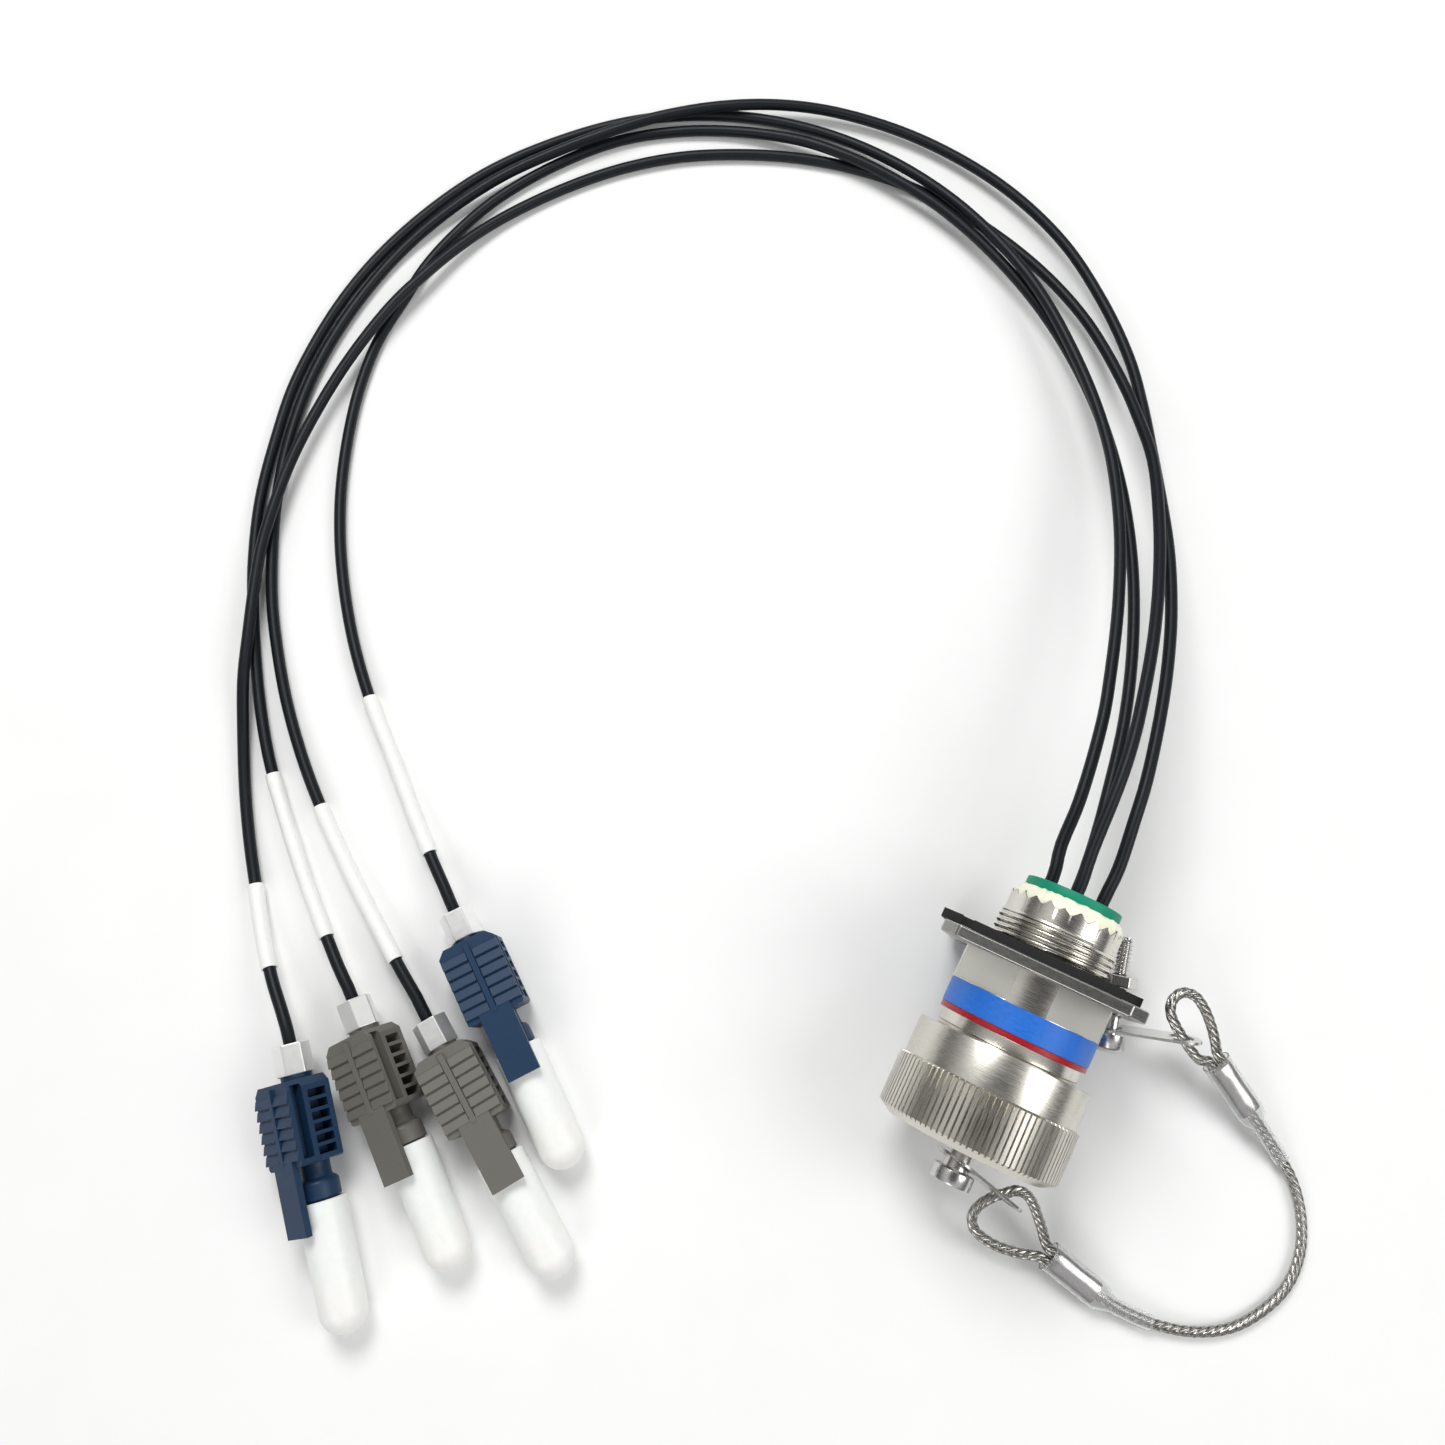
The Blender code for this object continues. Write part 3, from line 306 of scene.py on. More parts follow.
# Lanyard route
FLANGE_FERRULE = ((35.4, 0.4, 7.2), (43.6, -4.3, 4.7))
CAP_FERRULE = ((30.2, -42.6, 2.6), (21.4, -40.4, 3.9))
FLANGE_LOOP = [(32.0, -0.1, 7.9), (29.4, 0.87, 8.9), (27.2, 2.15, 9.89), (25.3, 3.3, 10.8),
               (23.6, 4.8, 11.7), (23.1, 6.7, 12.2), (24.2, 8.6, 12.3), (26.4, 9.0, 11.9),
               (28.6, 8.0, 11.1), (30.9, 6.0, 10.2), (33.0, 3.7, 9.0)]
CAP_LOOP = [(17.0, -36.0, 6.2), (14.0, -33.3, 8.2), (12.6, -32.6, 8.9), (11.4, -32.5, 9.3),
            (10.25, -32.9, 9.38), (9.12, -33.88, 9.38), (7.95, -34.8, 9.3), (6.2, -37.2, 8.5),
            (5.9, -39.4, 7.2), (7.4, -41.4, 5.8), (11.2, -42.3, 4.7), (15.9, -41.9, 4.0)]
LANYARD_RUN = [(45.9, -5.6, 3.9), (50.8, -8.5, 2.3), (54.9, -11.3, 1.3), (58.4, -16.2, 1.0),
               (60.3, -22.2, 1.0), (60.0, -28.2, 1.0), (57.4, -33.8, 1.0), (53.5, -38.4, 1.0),
               (48.1, -41.5, 1.2), (42.1, -43.0, 1.6), (36.3, -43.3, 2.0), (32.4, -43.0, 2.4)]


def floor_point(point):
    return Vector((point[0] + CONNECTOR_X, point[1] + CONNECTOR_Y, point[2]))


def connector_frame():
    turn = Matrix.Rotation(math.radians(TURN_DEG), 4, "Z")
    lie = Matrix.Rotation(math.radians(REAR_LIFT_DEG), 4, "X")
    roll = Matrix.Rotation(-math.radians(ROLL_DEG), 4, "Y")
    return Matrix.Translation(floor_point((SHIFT_X, SHIFT_Y, AXIS_HEIGHT))) @ turn @ lie @ roll


def axis_frame(start, end, roll_deg=0.0):
    forward = (end - start).normalized()
    across = forward.cross(Vector((0.0, 0.0, 1.0))).normalized()
    up = across.cross(forward)
    frame = Matrix((across, forward, up)).transposed().to_4x4()
    return Matrix.Translation(start) @ frame @ Matrix.Rotation(math.radians(roll_deg), 4, "Y")


# Materials

def finish(name, colour, roughness, metallic=0.0, grain=(600, 600, 600), tint=0.08,
           rough_swing=0.06, bump=0.15, depth=0.02, detail=4.0, **sockets):
    """A surface whose colour, gloss and height all vary with one fine noise."""
    material = bpy.data.materials.new(name)
    material.use_nodes = True
    nodes, links = material.node_tree.nodes, material.node_tree.links
    shader = nodes["Principled BSDF"]
    place = nodes.new("ShaderNodeTexCoord")
    scale = nodes.new("ShaderNodeMapping")
    scale.inputs["Scale"].default_value = grain
    noise = nodes.new("ShaderNodeTexNoise")
    noise.inputs["Scale"].default_value = 1.0
    noise.inputs["Detail"].default_value = detail
    noise.inputs["Roughness"].default_value = 0.6
    links.new(place.outputs["Object"], scale.inputs["Vector"])
    links.new(scale.outputs["Vector"], noise.inputs["Vector"])
    ramp = nodes.new("ShaderNodeValToRGB")
    ramp.color_ramp.elements[0].position = 0.3
    ramp.color_ramp.elements[1].position = 0.7
    ramp.color_ramp.elements[0].color = (*[c * (1 - tint) for c in colour], 1.0)
    ramp.color_ramp.elements[1].color = (*[min(1.0, c * (1 + tint)) for c in colour], 1.0)
    links.new(noise.outputs["Fac"], ramp.inputs["Fac"])
    links.new(ramp.outputs["Color"], shader.inputs["Base Color"])
    gloss = nodes.new("ShaderNodeMapRange")
    gloss.inputs["From Min"].default_value = 0.3
    gloss.inputs["From Max"].default_value = 0.7
    gloss.inputs["To Min"].default_value = max(0.02, roughness - rough_swing)
    gloss.inputs["To Max"].default_value = roughness + rough_swing
    links.new(noise.outputs["Fac"], gloss.inputs["Value"])
    links.new(gloss.outputs["Result"], shader.inputs["Roughness"])
    height = nodes.new("ShaderNodeBump")
    height.inputs["Strength"].default_value = bump
    height.inputs["Distance"].default_value = depth * MM
    links.new(noise.outputs["Fac"], height.inputs["Height"])
    links.new(height.outputs["Normal"], shader.inputs["Normal"])
    shader.inputs["Metallic"].default_value = metallic
    for socket, value in sockets.items():
        shader.inputs[socket.replace("_", " ")].default_value = value
    material.diffuse_color = (*colour, 1.0)
    return material


def make_materials():
    """All materials. The numbers are colour, roughness, metallic, grain, tint, swing, bump and depth."""
    lathe = (500, 14000, 500)
    fine = (7000, 7000, 7000)
    middling = (3000, 3000, 3000)
    coarse = (900, 900, 900)
    rows = {
        "turned": ("nickel_turned", (0.68, 0.655, 0.60), 0.24, 1.0, lathe, 0.05, 0.07, 0.2, 0.012),
        "flats": ("nickel_matt", (0.76, 0.75, 0.70), 0.46, 1.0, fine, 0.04, 0.05, 0.1, 0.01),
        "satin": ("nickel_satin", (0.65, 0.63, 0.57), 0.29, 1.0, lathe, 0.05, 0.06, 0.15, 0.01),
        "knurled": ("nickel_knurled", (0.61, 0.585, 0.53), 0.29, 1.0,
                    (6000, 300, 6000), 0.03, 0.05, 0.05, 0.01),
        "flange": ("flange_metal", (0.38, 0.375, 0.36), 0.28, 1.0,
                   (900, 3000, 900), 0.03, 0.03, 0.01, 0.01),
        "steel": ("steel_plain", (0.62, 0.61, 0.59), 0.24, 1.0, fine, 0.08, 0.06, 0.15, 0.01),
        "rope": ("steel_wire", (0.38, 0.37, 0.345), 0.24, 1.0, middling, 0.35, 0.08, 0.5, 0.02),
        "chrome": ("ferrule_chrome_finish", (0.42, 0.385, 0.385), 0.10, 1.0, coarse, 0.1, 0.03, 0.1, 0.02),
        "clear": ("sleeve_clear", (0.95, 0.96, 0.96), 0.12, 0.0, coarse, 0.01, 0.03, 0.2, 0.03),
        "rubber": ("gasket_black", (0.006, 0.006, 0.007), 0.75, 0.0,
                   (5000, 5000, 5000), 0.3, 0.1, 0.4, 0.03),
        "green": ("insert_green_finish", (0.001, 0.26, 0.15), 0.5, 0.0, middling, 0.06, 0.06, 0.2, 0.02),
        "cream": ("potting_cream", (0.96, 0.96, 0.76), 0.4, 0.0, coarse, 0.05, 0.1, 0.4, 0.08),
        "blue_band": ("band_blue", (0.012, 0.15, 0.62), 0.42, 0.0, (900, 5000, 900), 0.14, 0.08, 0.3, 0.02),
        "red_band": ("band_red", (0.35, 0.006, 0.01), 0.32, 0.0, (1500, 6000, 1500), 0.2, 0.08, 0.3, 0.02),
        "cable": ("cable_jacket", (0.006, 0.008, 0.011), 0.42, 0.0,
                  (2500, 2500, 2500), 0.25, 0.06, 0.25, 0.02),
        "label": ("label_sleeve", (0.88, 0.88, 0.86), 0.42, 0.0, (1200, 1200, 1200), 0.03, 0.06, 0.2, 0.02),
        "crimp": ("crimp_bright", (0.93, 0.93, 0.92), 0.34, 0.7, (700, 700, 700), 0.02, 0.03, 0.02, 0.01),
        "white": ("cap_soft_white", (0.90, 0.90, 0.87), 0.42, 0.0, (700, 700, 700), 0.02, 0.08, 0.15, 0.03),
        "grey": ("plug_grey_plastic", (0.135, 0.130, 0.112), 0.48, 0.0, fine, 0.10, 0.07, 0.25, 0.012),
        "blue": ("plug_blue_plastic", (0.009, 0.034, 0.082), 0.46, 0.0, fine, 0.12, 0.07, 0.25, 0.012),
    }
    extras = {
        "clear": {"Transmission_Weight": 0.9, "IOR": 1.4},
        "green": {"Specular_IOR_Level": 0.3},
        "cream": {"Subsurface_Weight": 0.1, "Subsurface_Scale": 0.001},
        "cable": {"Specular_IOR_Level": 0.22},
        "white": {"Subsurface_Weight": 0.15, "Subsurface_Scale": 0.002},
        "blue": {"Specular_IOR_Level": 0.35},
    }
    return {key: finish(*row, **extras.get(key, {})) for key, row in rows.items()}


# Shapes, each a list of points in millimetres and a list of faces

def even_angles(count):
    return [2 * math.pi * i / count for i in range(count)]


def at(value, angle):
    return value(angle) if callable(value) else value


def turned(stations, angles, closed=False):
    verts, rings, faces = [], [], []
    for along, radius in stations:
        if not callable(radius) and radius == 0:
            rings.append([len(verts)])
            verts.append((0.0, along, 0.0))
            continue
        ring = []
        for angle in angles:
            r = at(radius, angle)
            ring.append(len(verts))
            verts.append((r * math.cos(angle), at(along, angle), r * math.sin(angle)))
        rings.append(ring)
    pairs = list(zip(rings, rings[1:]))
    if closed:
        pairs.append((rings[-1], rings[0]))
    for first, second in pairs:
        for i in range(len(angles)):
            j = (i + 1) % len(angles)
            if len(first) == 1:
                faces.append((first[0], second[i], second[j]))
            elif len(second) == 1:
                faces.append((first[i], first[j], second[0]))
            else:
                faces.append((first[i], first[j], second[j], second[i]))
    return verts, faces


def eased(stations, amount):
    """The same profile with each corner rounded by a short arc."""
    points = [Vector(s) for s in stations]
    out = [tuple(points[0])]
    for before, corner, after in zip(points, points[1:], points[2:]):
        back, on = before - corner, after - corner
        reach = min(amount, back.length * 0.45, on.length * 0.45)
        p = corner + back.normalized() * reach
        q = corner + on.normalized() * reach
        out += [tuple(p), tuple(corner * 0.5 + (p + q) * 0.25), tuple(q)]
    out.append(tuple(points[-1]))
    return out


def prism(outline, start, end, axis="Y"):
    """A flat outline drawn out along one axis, as (x, z) for Y, (x, y) for Z or (y, z) for X."""
    order = {"Y": lambda a, b, t: (a, t, b), "Z": lambda a, b, t: (a, b, t),
             "X": lambda a, b, t: (t, a, b)}[axis]
    count = len(outline)
    verts = [order(a, b, start) for a, b in outline] + [order(a, b, end) for a, b in outline]
    faces = [tuple(range(count)), tuple(reversed(range(count, 2 * count)))]
    faces += [(i, (i + 1) % count, count + (i + 1) % count, count + i) for i in range(count)]
    return verts, faces


def box(low, high):
    outline = [(low[0], low[2]), (high[0], low[2]), (high[0], high[2]), (low[0], high[2])]
    return prism(outline, low[1], high[1])


def joined(shapes):
    verts, faces = [], []
    for shape_verts, shape_faces in shapes:
        base = len(verts)
        verts += shape_verts
        faces += [tuple(i + base for i in face) for face in shape_faces]
    return verts, faces


def rod(x, z, radius, start, end, count=32):
    outline = [(x + radius * math.cos(a), z + radius * math.sin(a)) for a in even_angles(count)]
    return prism(outline, start, end)


def threaded(rear, front, crest, depth, pitch, rows_per_pitch=6):
    """Stations of a screw thread as a helix, fading out at both ends."""
    rows = int(round((rear - front) / pitch * rows_per_pitch))
    stations = []
    for row in range(rows + 1):
        along = rear + (front - rear) * row / rows
        fade = min(1.0, (rear - along) / pitch, (along - front) / pitch)

        def radius(angle, along=along, fade=fade):
            phase = (along / pitch + angle / (2 * math.pi)) % 1.0
            wave = abs(2 * phase - 1)
            return crest - depth * max(1 - fade, min(1.0, wave * 1.25))
        stations.append((along, radius))
    return stations


def smooth_curve(points):
    """Closely spaced points on a smooth curve through the given points."""
    pts = [np.array(p, dtype=float) for p in points]
    pts = [2 * pts[0] - pts[1]] + pts + [2 * pts[-1] - pts[-2]]
    out = []
    for p0, p1, p2, p3 in zip(pts, pts[1:], pts[2:], pts[3:]):
        t0 = 0.0
        t1 = t0 + np.linalg.norm(p1 - p0) ** 0.5
        t2 = t1 + np.linalg.norm(p2 - p1) ** 0.5
        t3 = t2 + np.linalg.norm(p3 - p2) ** 0.5
        for t in np.linspace(t1, t2, 40, endpoint=False):
            a1 = (t1 - t) / (t1 - t0) * p0 + (t - t0) / (t1 - t0) * p1
            a2 = (t2 - t) / (t2 - t1) * p1 + (t - t1) / (t2 - t1) * p2
            a3 = (t3 - t) / (t3 - t2) * p2 + (t - t2) / (t3 - t2) * p3
            b1 = (t2 - t) / (t2 - t0) * a1 + (t - t0) / (t2 - t0) * a2
            b2 = (t3 - t) / (t3 - t1) * a2 + (t - t1) / (t3 - t1) * a3
            out.append((t2 - t) / (t2 - t1) * b1 + (t - t1) / (t2 - t1) * b2)
    out.append(pts[-2])
    return np.array(out)


def spaced(curve, step):
    steps = np.linalg.norm(np.diff(curve, axis=0), axis=1)
    along = np.concatenate(([0.0], np.cumsum(steps)))
    count = max(2, int(round(along[-1] / step)) + 1)
    wanted = np.linspace(0.0, along[-1], count)
    return np.array([[np.interp(s, along, curve[:, k]) for k in range(3)] for s in wanted])


def swept(points, radius, count):
    """A closed tube along the points; radius gives the distance at (angle, length so far, row)."""
    verts, rings, faces = [], [], []
    tangents = np.gradient(points, axis=0)
    side = Vector(tangents[0]).cross(Vector((0.0, 0.0, 1.0))).normalized()
    so_far = 0.0
    for row, point in enumerate(points):
        forward = Vector(tangents[row]).normalized()
        side = (side - forward * side.dot(forward)).normalized()
        up = side.cross(forward)
        if row:
            so_far += float(np.linalg.norm(point - points[row - 1]))
        ring = []
        for angle in even_angles(count):
            r = radius(angle, so_far, row)
            ring.append(len(verts))
            verts.append(tuple(Vector(point) + side * r * math.cos(angle) + up * r * math.sin(angle)))
        rings.append(ring)
    for first, second in zip(rings, rings[1:]):
        for i in range(count):
            j = (i + 1) % count
            faces.append((first[i], first[j], second[j], second[i]))
    faces += [tuple(rings[0]), tuple(reversed(rings[-1]))]
    return verts, faces


def rope(points):
    """Round strands laid in a helix, each with the ripple of its wires."""
    strand = ROPE_D / 2 / 3

    def radius(angle, so_far, row):
        lay = angle - 2 * math.pi * so_far / ROPE_LAY
        within = (lay * ROPE_STRANDS / (2 * math.pi)) % 1.0 - 0.5
        offset = within * 2 * math.pi / ROPE_STRANDS
        bulge = max(0.0, 1 - 4 * math.sin(offset) ** 2)
        ripple = 0.05 * strand * math.cos(12 * within * math.pi + 2 * math.pi * so_far / 0.9)
        return strand * (2 * math.cos(offset) + math.sqrt(bulge)) + ripple
    return swept(points, radius, ROPE_STRANDS * 10)


def hollow_sleeve(points, inner, outer, count=32):
    """A tube wall along the points; inner and outer give a half width and half height each."""
    verts, rings, faces = [], [], []
    tangents = np.gradient(points, axis=0)
    rows = list(range(len(points)))
    for sizes, order in ((outer, rows), (inner, rows[::-1])):
        for row in order:
            forward = Vector(tangents[row]).normalized()
            across = forward.cross(Vector((0.0, 0.0, 1.0))).normalized()
            up = across.cross(forward)
            ring = []
            for angle in even_angles(count):
                offset = across * sizes[row][0] * math.cos(angle) + up * sizes[row][1] * math.sin(angle)
                ring.append(len(verts))
                verts.append(tuple(Vector(points[row]) + offset))
            rings.append(ring)
    for first, second in zip(rings, rings[1:] + rings[:1]):
        for i in range(count):
            j = (i + 1) % count
            faces.append((first[i], first[j], second[j], second[i]))
    return verts, faces


# Pieces

def new_object(name, shape, frame):
    verts, faces = shape
    mesh = bpy.data.meshes.new(name)
    mesh.from_pydata([tuple(Vector(v) * MM) for v in verts], [], faces)
    builder = bmesh.new()
    builder.from_mesh(mesh)
    bmesh.ops.recalc_face_normals(builder, faces=builder.faces)
    builder.to_mesh(mesh)
    builder.free()
    item = bpy.data.objects.new(name, mesh)
    place = frame.copy()
    place.translation = frame.translation * MM
    item.matrix_world = place
    bpy.context.scene.collection.objects.link(item)
    return item


def boolean(item, shape, frame, operation="DIFFERENCE"):
    """Cuts or adds a shape and keeps only the result."""
    tool = new_object("tool", shape, frame)
    step = item.modifiers.new("boolean", "BOOLEAN")
    step.operation = operation
    step.solver = "EXACT"
    step.object = tool
    bpy.context.view_layer.update()
    graph = bpy.context.evaluated_depsgraph_get()
    mesh = bpy.data.meshes.new_from_object(item.evaluated_get(graph))
    item.modifiers.clear()
    item.data = mesh
    bpy.data.objects.remove(tool)


def dress(item, look, body, replaces=(), smooth=30, bevel=0.0):
    """Finish, shading, edges, and the body that the piece moves with."""
    item.data.materials.clear()
    item.data.materials.append(MATERIALS[look])
    if item.type == "MESH":
        item.data.shade_smooth()
        item.data.set_sharp_from_angle(angle=math.radians(smooth))
    if bevel:
        step = item.modifiers.new("edges", "BEVEL")
        step.width = bevel * MM
        step.segments = 2
        step.limit_method = "ANGLE"
        step.angle_limit = math.radians(35)
        step.harden_normals = True
    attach(item, body)
    if replaces:
        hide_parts(*replaces)
    return item


def piece(name, shape, frame, look, body, replaces=(), smooth=30, bevel=0.0):
    return dress(new_object(name, shape, frame), look, body, replaces, smooth, bevel)


def square_outline(size, corner, shift=0.0):
    half = size / 2
    inner = half - corner
    points = [(half, -inner), (half, inner), (inner, half), (-inner, half),
              (-half, inner), (-half, -inner), (-inner, -half), (inner, -half)]
    return [(x + shift, z + shift) for x, z in points]


def flats_radius(angle):
    half_span = math.radians(45.0 - FLAT_START_DEG)
    offset = angle % (math.pi / 2) - math.pi / 4
    if abs(offset) < half_span + 1e-6:
        return BODY_R * math.cos(half_span) / math.cos(offset)
    return BODY_R


def toothed_edge():
    """Station of the sleeve's torn rear edge at each angle: points with hollows between."""
    rng = random.Random(7)
    tips = [0.85 + 0.55 * rng.random() for _ in range(SLEEVE_TEETH)]
    shifts = [0.18 * (rng.random() - 0.5) for _ in range(SLEEVE_TEETH)]

    def station(angle):
        turn = (angle / (2 * math.pi) % 1.0) * SLEEVE_TEETH
        first = int(turn) % SLEEVE_TEETH
        second = (first + 1) % SLEEVE_TEETH
        part = min(1.0, max(0.0, turn - int(turn) + shifts[first]))
        tip = tips[first] * (1 - part) + tips[second] * part
        return TOOTH_VALLEY + tip * abs(2 * part - 1) ** 1.3
    return station


def add_receptacle(frame):
    body, slot = "receptacle", "nickel"
    angles = even_angles(SLEEVE_TEETH * 12)
    edge = toothed_edge()
    sleeve = [(THREAD_REAR - 0.6, SLEEVE_R), (THREAD_REAR + 0.4, SLEEVE_R),
              (lambda a: edge(a) - 0.1, SLEEVE_R), (edge, SLEEVE_R - 0.08), (edge, SLEEVE_R - 0.5),
              (THREAD_REAR, SLEEVE_R - 0.6), (THREAD_REAR - 0.6, SLEEVE_R - 0.6)]
    piece("rear_sleeve", turned(sleeve, angles, True), frame, "turned", body, smooth=40)
    thread = threaded(THREAD_REAR, FLANGE_THICK + 0.6, THREAD_R, THREAD_DEPTH, THREAD_PITCH)
    neck = THREAD_R - THREAD_DEPTH
    stations = [(THREAD_REAR + 0.25, 0), (THREAD_REAR + 0.25, SLEEVE_R + 0.1)] + thread
    stations += [(FLANGE_THICK + 0.6, neck), (FLANGE_THICK - 0.2, neck), (FLANGE_THICK - 0.2, 0)]
    piece("rear_thread", turned(stations, even_angles(144)), frame, "turned", body, smooth=60)

    flange = new_object("square_flange",
                        prism(square_outline(FLANGE_SIZE, FLANGE_CORNER), 0.0, FLANGE_THICK), frame)
    places = [(x, z) for x in (-HOLE_OFFSET, HOLE_OFFSET) for z in (-HOLE_OFFSET, HOLE_OFFSET)]
    holes = joined([rod(x, z, HOLE_D / 2, -1.0, 6.0) for x, z in places])
    boolean(flange, holes, frame)
    dress(flange, "flange", body, bevel=0.35)

    gasket = new_object("rubber_gasket", prism(square_outline(GASKET_SIZE, GASKET_CORNER, GASKET_SHIFT),
                                               GASKET_FRONT, GASKET_REAR), frame)
    boolean(gasket, joined([holes, rod(0.0, 0.0, THREAD_R + 0.08, 0.0, 6.0, 96)]), frame)
    dress(gasket, "rubber", body, ["flange_gasket"], bevel=0.15)

    flat_angles = sorted(even_angles(144) + [math.radians(q + a) for q in (0, 90, 180, 270)
                                             for a in (FLAT_START_DEG, 90 - FLAT_START_DEG)])
    flat_angles = [a for i, a in enumerate(flat_angles) if i == 0 or a - flat_angles[i - 1] > 1e-4]
    flats = [(0.3, 0), (0.3, flats_radius), (FLATS_FRONT - 0.3, flats_radius), (FLATS_FRONT - 0.3, 0)]
    piece("body_flats", turned(flats, flat_angles), frame, "flats", body, smooth=20)
    strips = [(0.25, BODY_R - 0.5), (0.25, BODY_R + 0.012), (FLATS_FRONT - 0.2, BODY_R + 0.012),
              (FLATS_FRONT - 0.2, BODY_R - 0.5)]
    for number, quarter in enumerate((0, 90, 180, 270)):
        across = [math.radians(quarter + a) for a in np.linspace(-FLAT_START_DEG, FLAT_START_DEG, 21)]
        piece("body_strip_%d" % (number + 1), sector(strips, across), frame, "turned", body)

    step = RED_FRONT - GROOVE_BEHIND_RED
    front = eased([(FLATS_FRONT + 0.1, 0), (FLATS_FRONT + 0.1, BODY_R - 0.05), (BLUE_FRONT, BODY_R - 0.05),
                   (BLUE_FRONT, RED_R - 0.05), (RED_FRONT, RED_R - 0.05), (RED_FRONT, BARREL_R + 0.12),
                   (step + 0.1, BARREL_R + 0.12), (step, BARREL_R), (BARREL_FRONT, BARREL_R),
                   (BARREL_FRONT, CAVITY_R), (CAVITY_BOTTOM, CAVITY_R), (CAVITY_BOTTOM, 0)], 0.12)
    piece("receptacle_barrel", turned(front, even_angles(144)), frame, "turned", body,
          ["receptacle_shell"])
    for name, rear, face, radius in (("blue_band", FLATS_FRONT, BLUE_FRONT, BODY_R + 0.03),
                                     ("red_band", BLUE_FRONT, RED_FRONT, RED_R + 0.05)):
        ring = [(rear, radius - 0.3), (rear, radius - 0.06), (rear - 0.08, radius), (face + 0.08, radius),
                (face, radius - 0.06), (face, radius - 0.3)]
        piece(name, turned(ring, even_angles(144), True), frame, name, body)

    add_rear_end(frame)


def sector(stations, angles):
    """Part of a turned shape between two angles, closed at both."""
    rows = [[(at(r, a) * math.cos(a), along, at(r, a) * math.sin(a)) for along, r in stations]
            for a in angles]
    count = len(stations)
    verts = [v for row in rows for v in row]
    faces = [tuple(range(count)), tuple(reversed(range(len(verts) - count, len(verts))))]
    for row in range(len(rows) - 1):
        for i in range(count):
            j = (i + 1) % count
            base = row * count
            faces.append((base + i, base + j, base + count + j, base + count + i))
    return verts, faces


def add_rear_end(frame):
    """Potting resin behind the torn edge, and the green insert that the cables leave."""
    rng = random.Random(11)
    count = 180
    wobble = [rng.uniform(-0.12, 0.12) for _ in range(count)]
    wobble = [(wobble[i - 1] + wobble[i] * 2 + wobble[(i + 1) % count]) / 4 for i in range(count)]

    def wavy(size, share):
        def value(angle):
            return size + share * wobble[int(round(angle / (2 * math.pi) * count)) % count]
        return value
    stations = [(THREAD_REAR + 0.3, 0), (THREAD_REAR + 0.3, SLEEVE_R - 0.55)]
    stations += [(wavy(along, sway), wavy(radius, swell)) for along, radius, sway, swell in POTTING]
    stations.append((POTTING[-1][0], 0))
    piece("potting_resin", turned(stations, even_angles(count)), frame, "cream", "receptacle",
          ["potting"], smooth=60)
    insert = eased([(INSERT_REAR, 0), (INSERT_REAR, INSERT_R), (INSERT_FRONT, INSERT_R),
                    (INSERT_FRONT, 0)], 0.3)
    disc = new_object("green_insert", turned(insert, even_angles(96)), frame)
    wells = joined([rod(x, z, CABLE_D / 2 + 0.25, INSERT_REAR - 1.0, INSERT_REAR + 1.0)
                    for x, z in EXITS.values()])
    boolean(disc, wells, frame)
    dress(disc, "green", "receptacle", ["rear_insert"], smooth=35)
    face = CAVITY_BOTTOM - 0.05
    mouth = face - SOCKET_INSERT_DEPTH
    front = eased([(face, 0), (face, CAVITY_R - 0.1), (mouth, CAVITY_R - 0.1), (mouth, 0)], 0.3)
    disc = new_object("socket_insert", turned(front, even_angles(96)), frame)
    holes = joined([rod(x * 0.8, z * 0.8, CONTACT_HOLE_R, face - 4.0, face - 1.0)
                    for x, z in EXITS.values()])
    boolean(disc, holes, frame)
    dress(disc, "green", "receptacle", ["front_insert"], smooth=35)


def cap_frame(frame):
    """The frame of the loosely screwed cap, whose front end stands a little high."""
    roll = Matrix.Rotation(math.radians(ROLL_DEG), 4, "Y")
    tip = roll @ Matrix.Rotation(-math.radians(CAP_TIP_DEG), 4, "X") @ roll.inverted()
    middle = Matrix.Translation((0.0, CAP_TIP_STATION, 0.0))
    return frame @ middle @ tip @ middle.inverted()


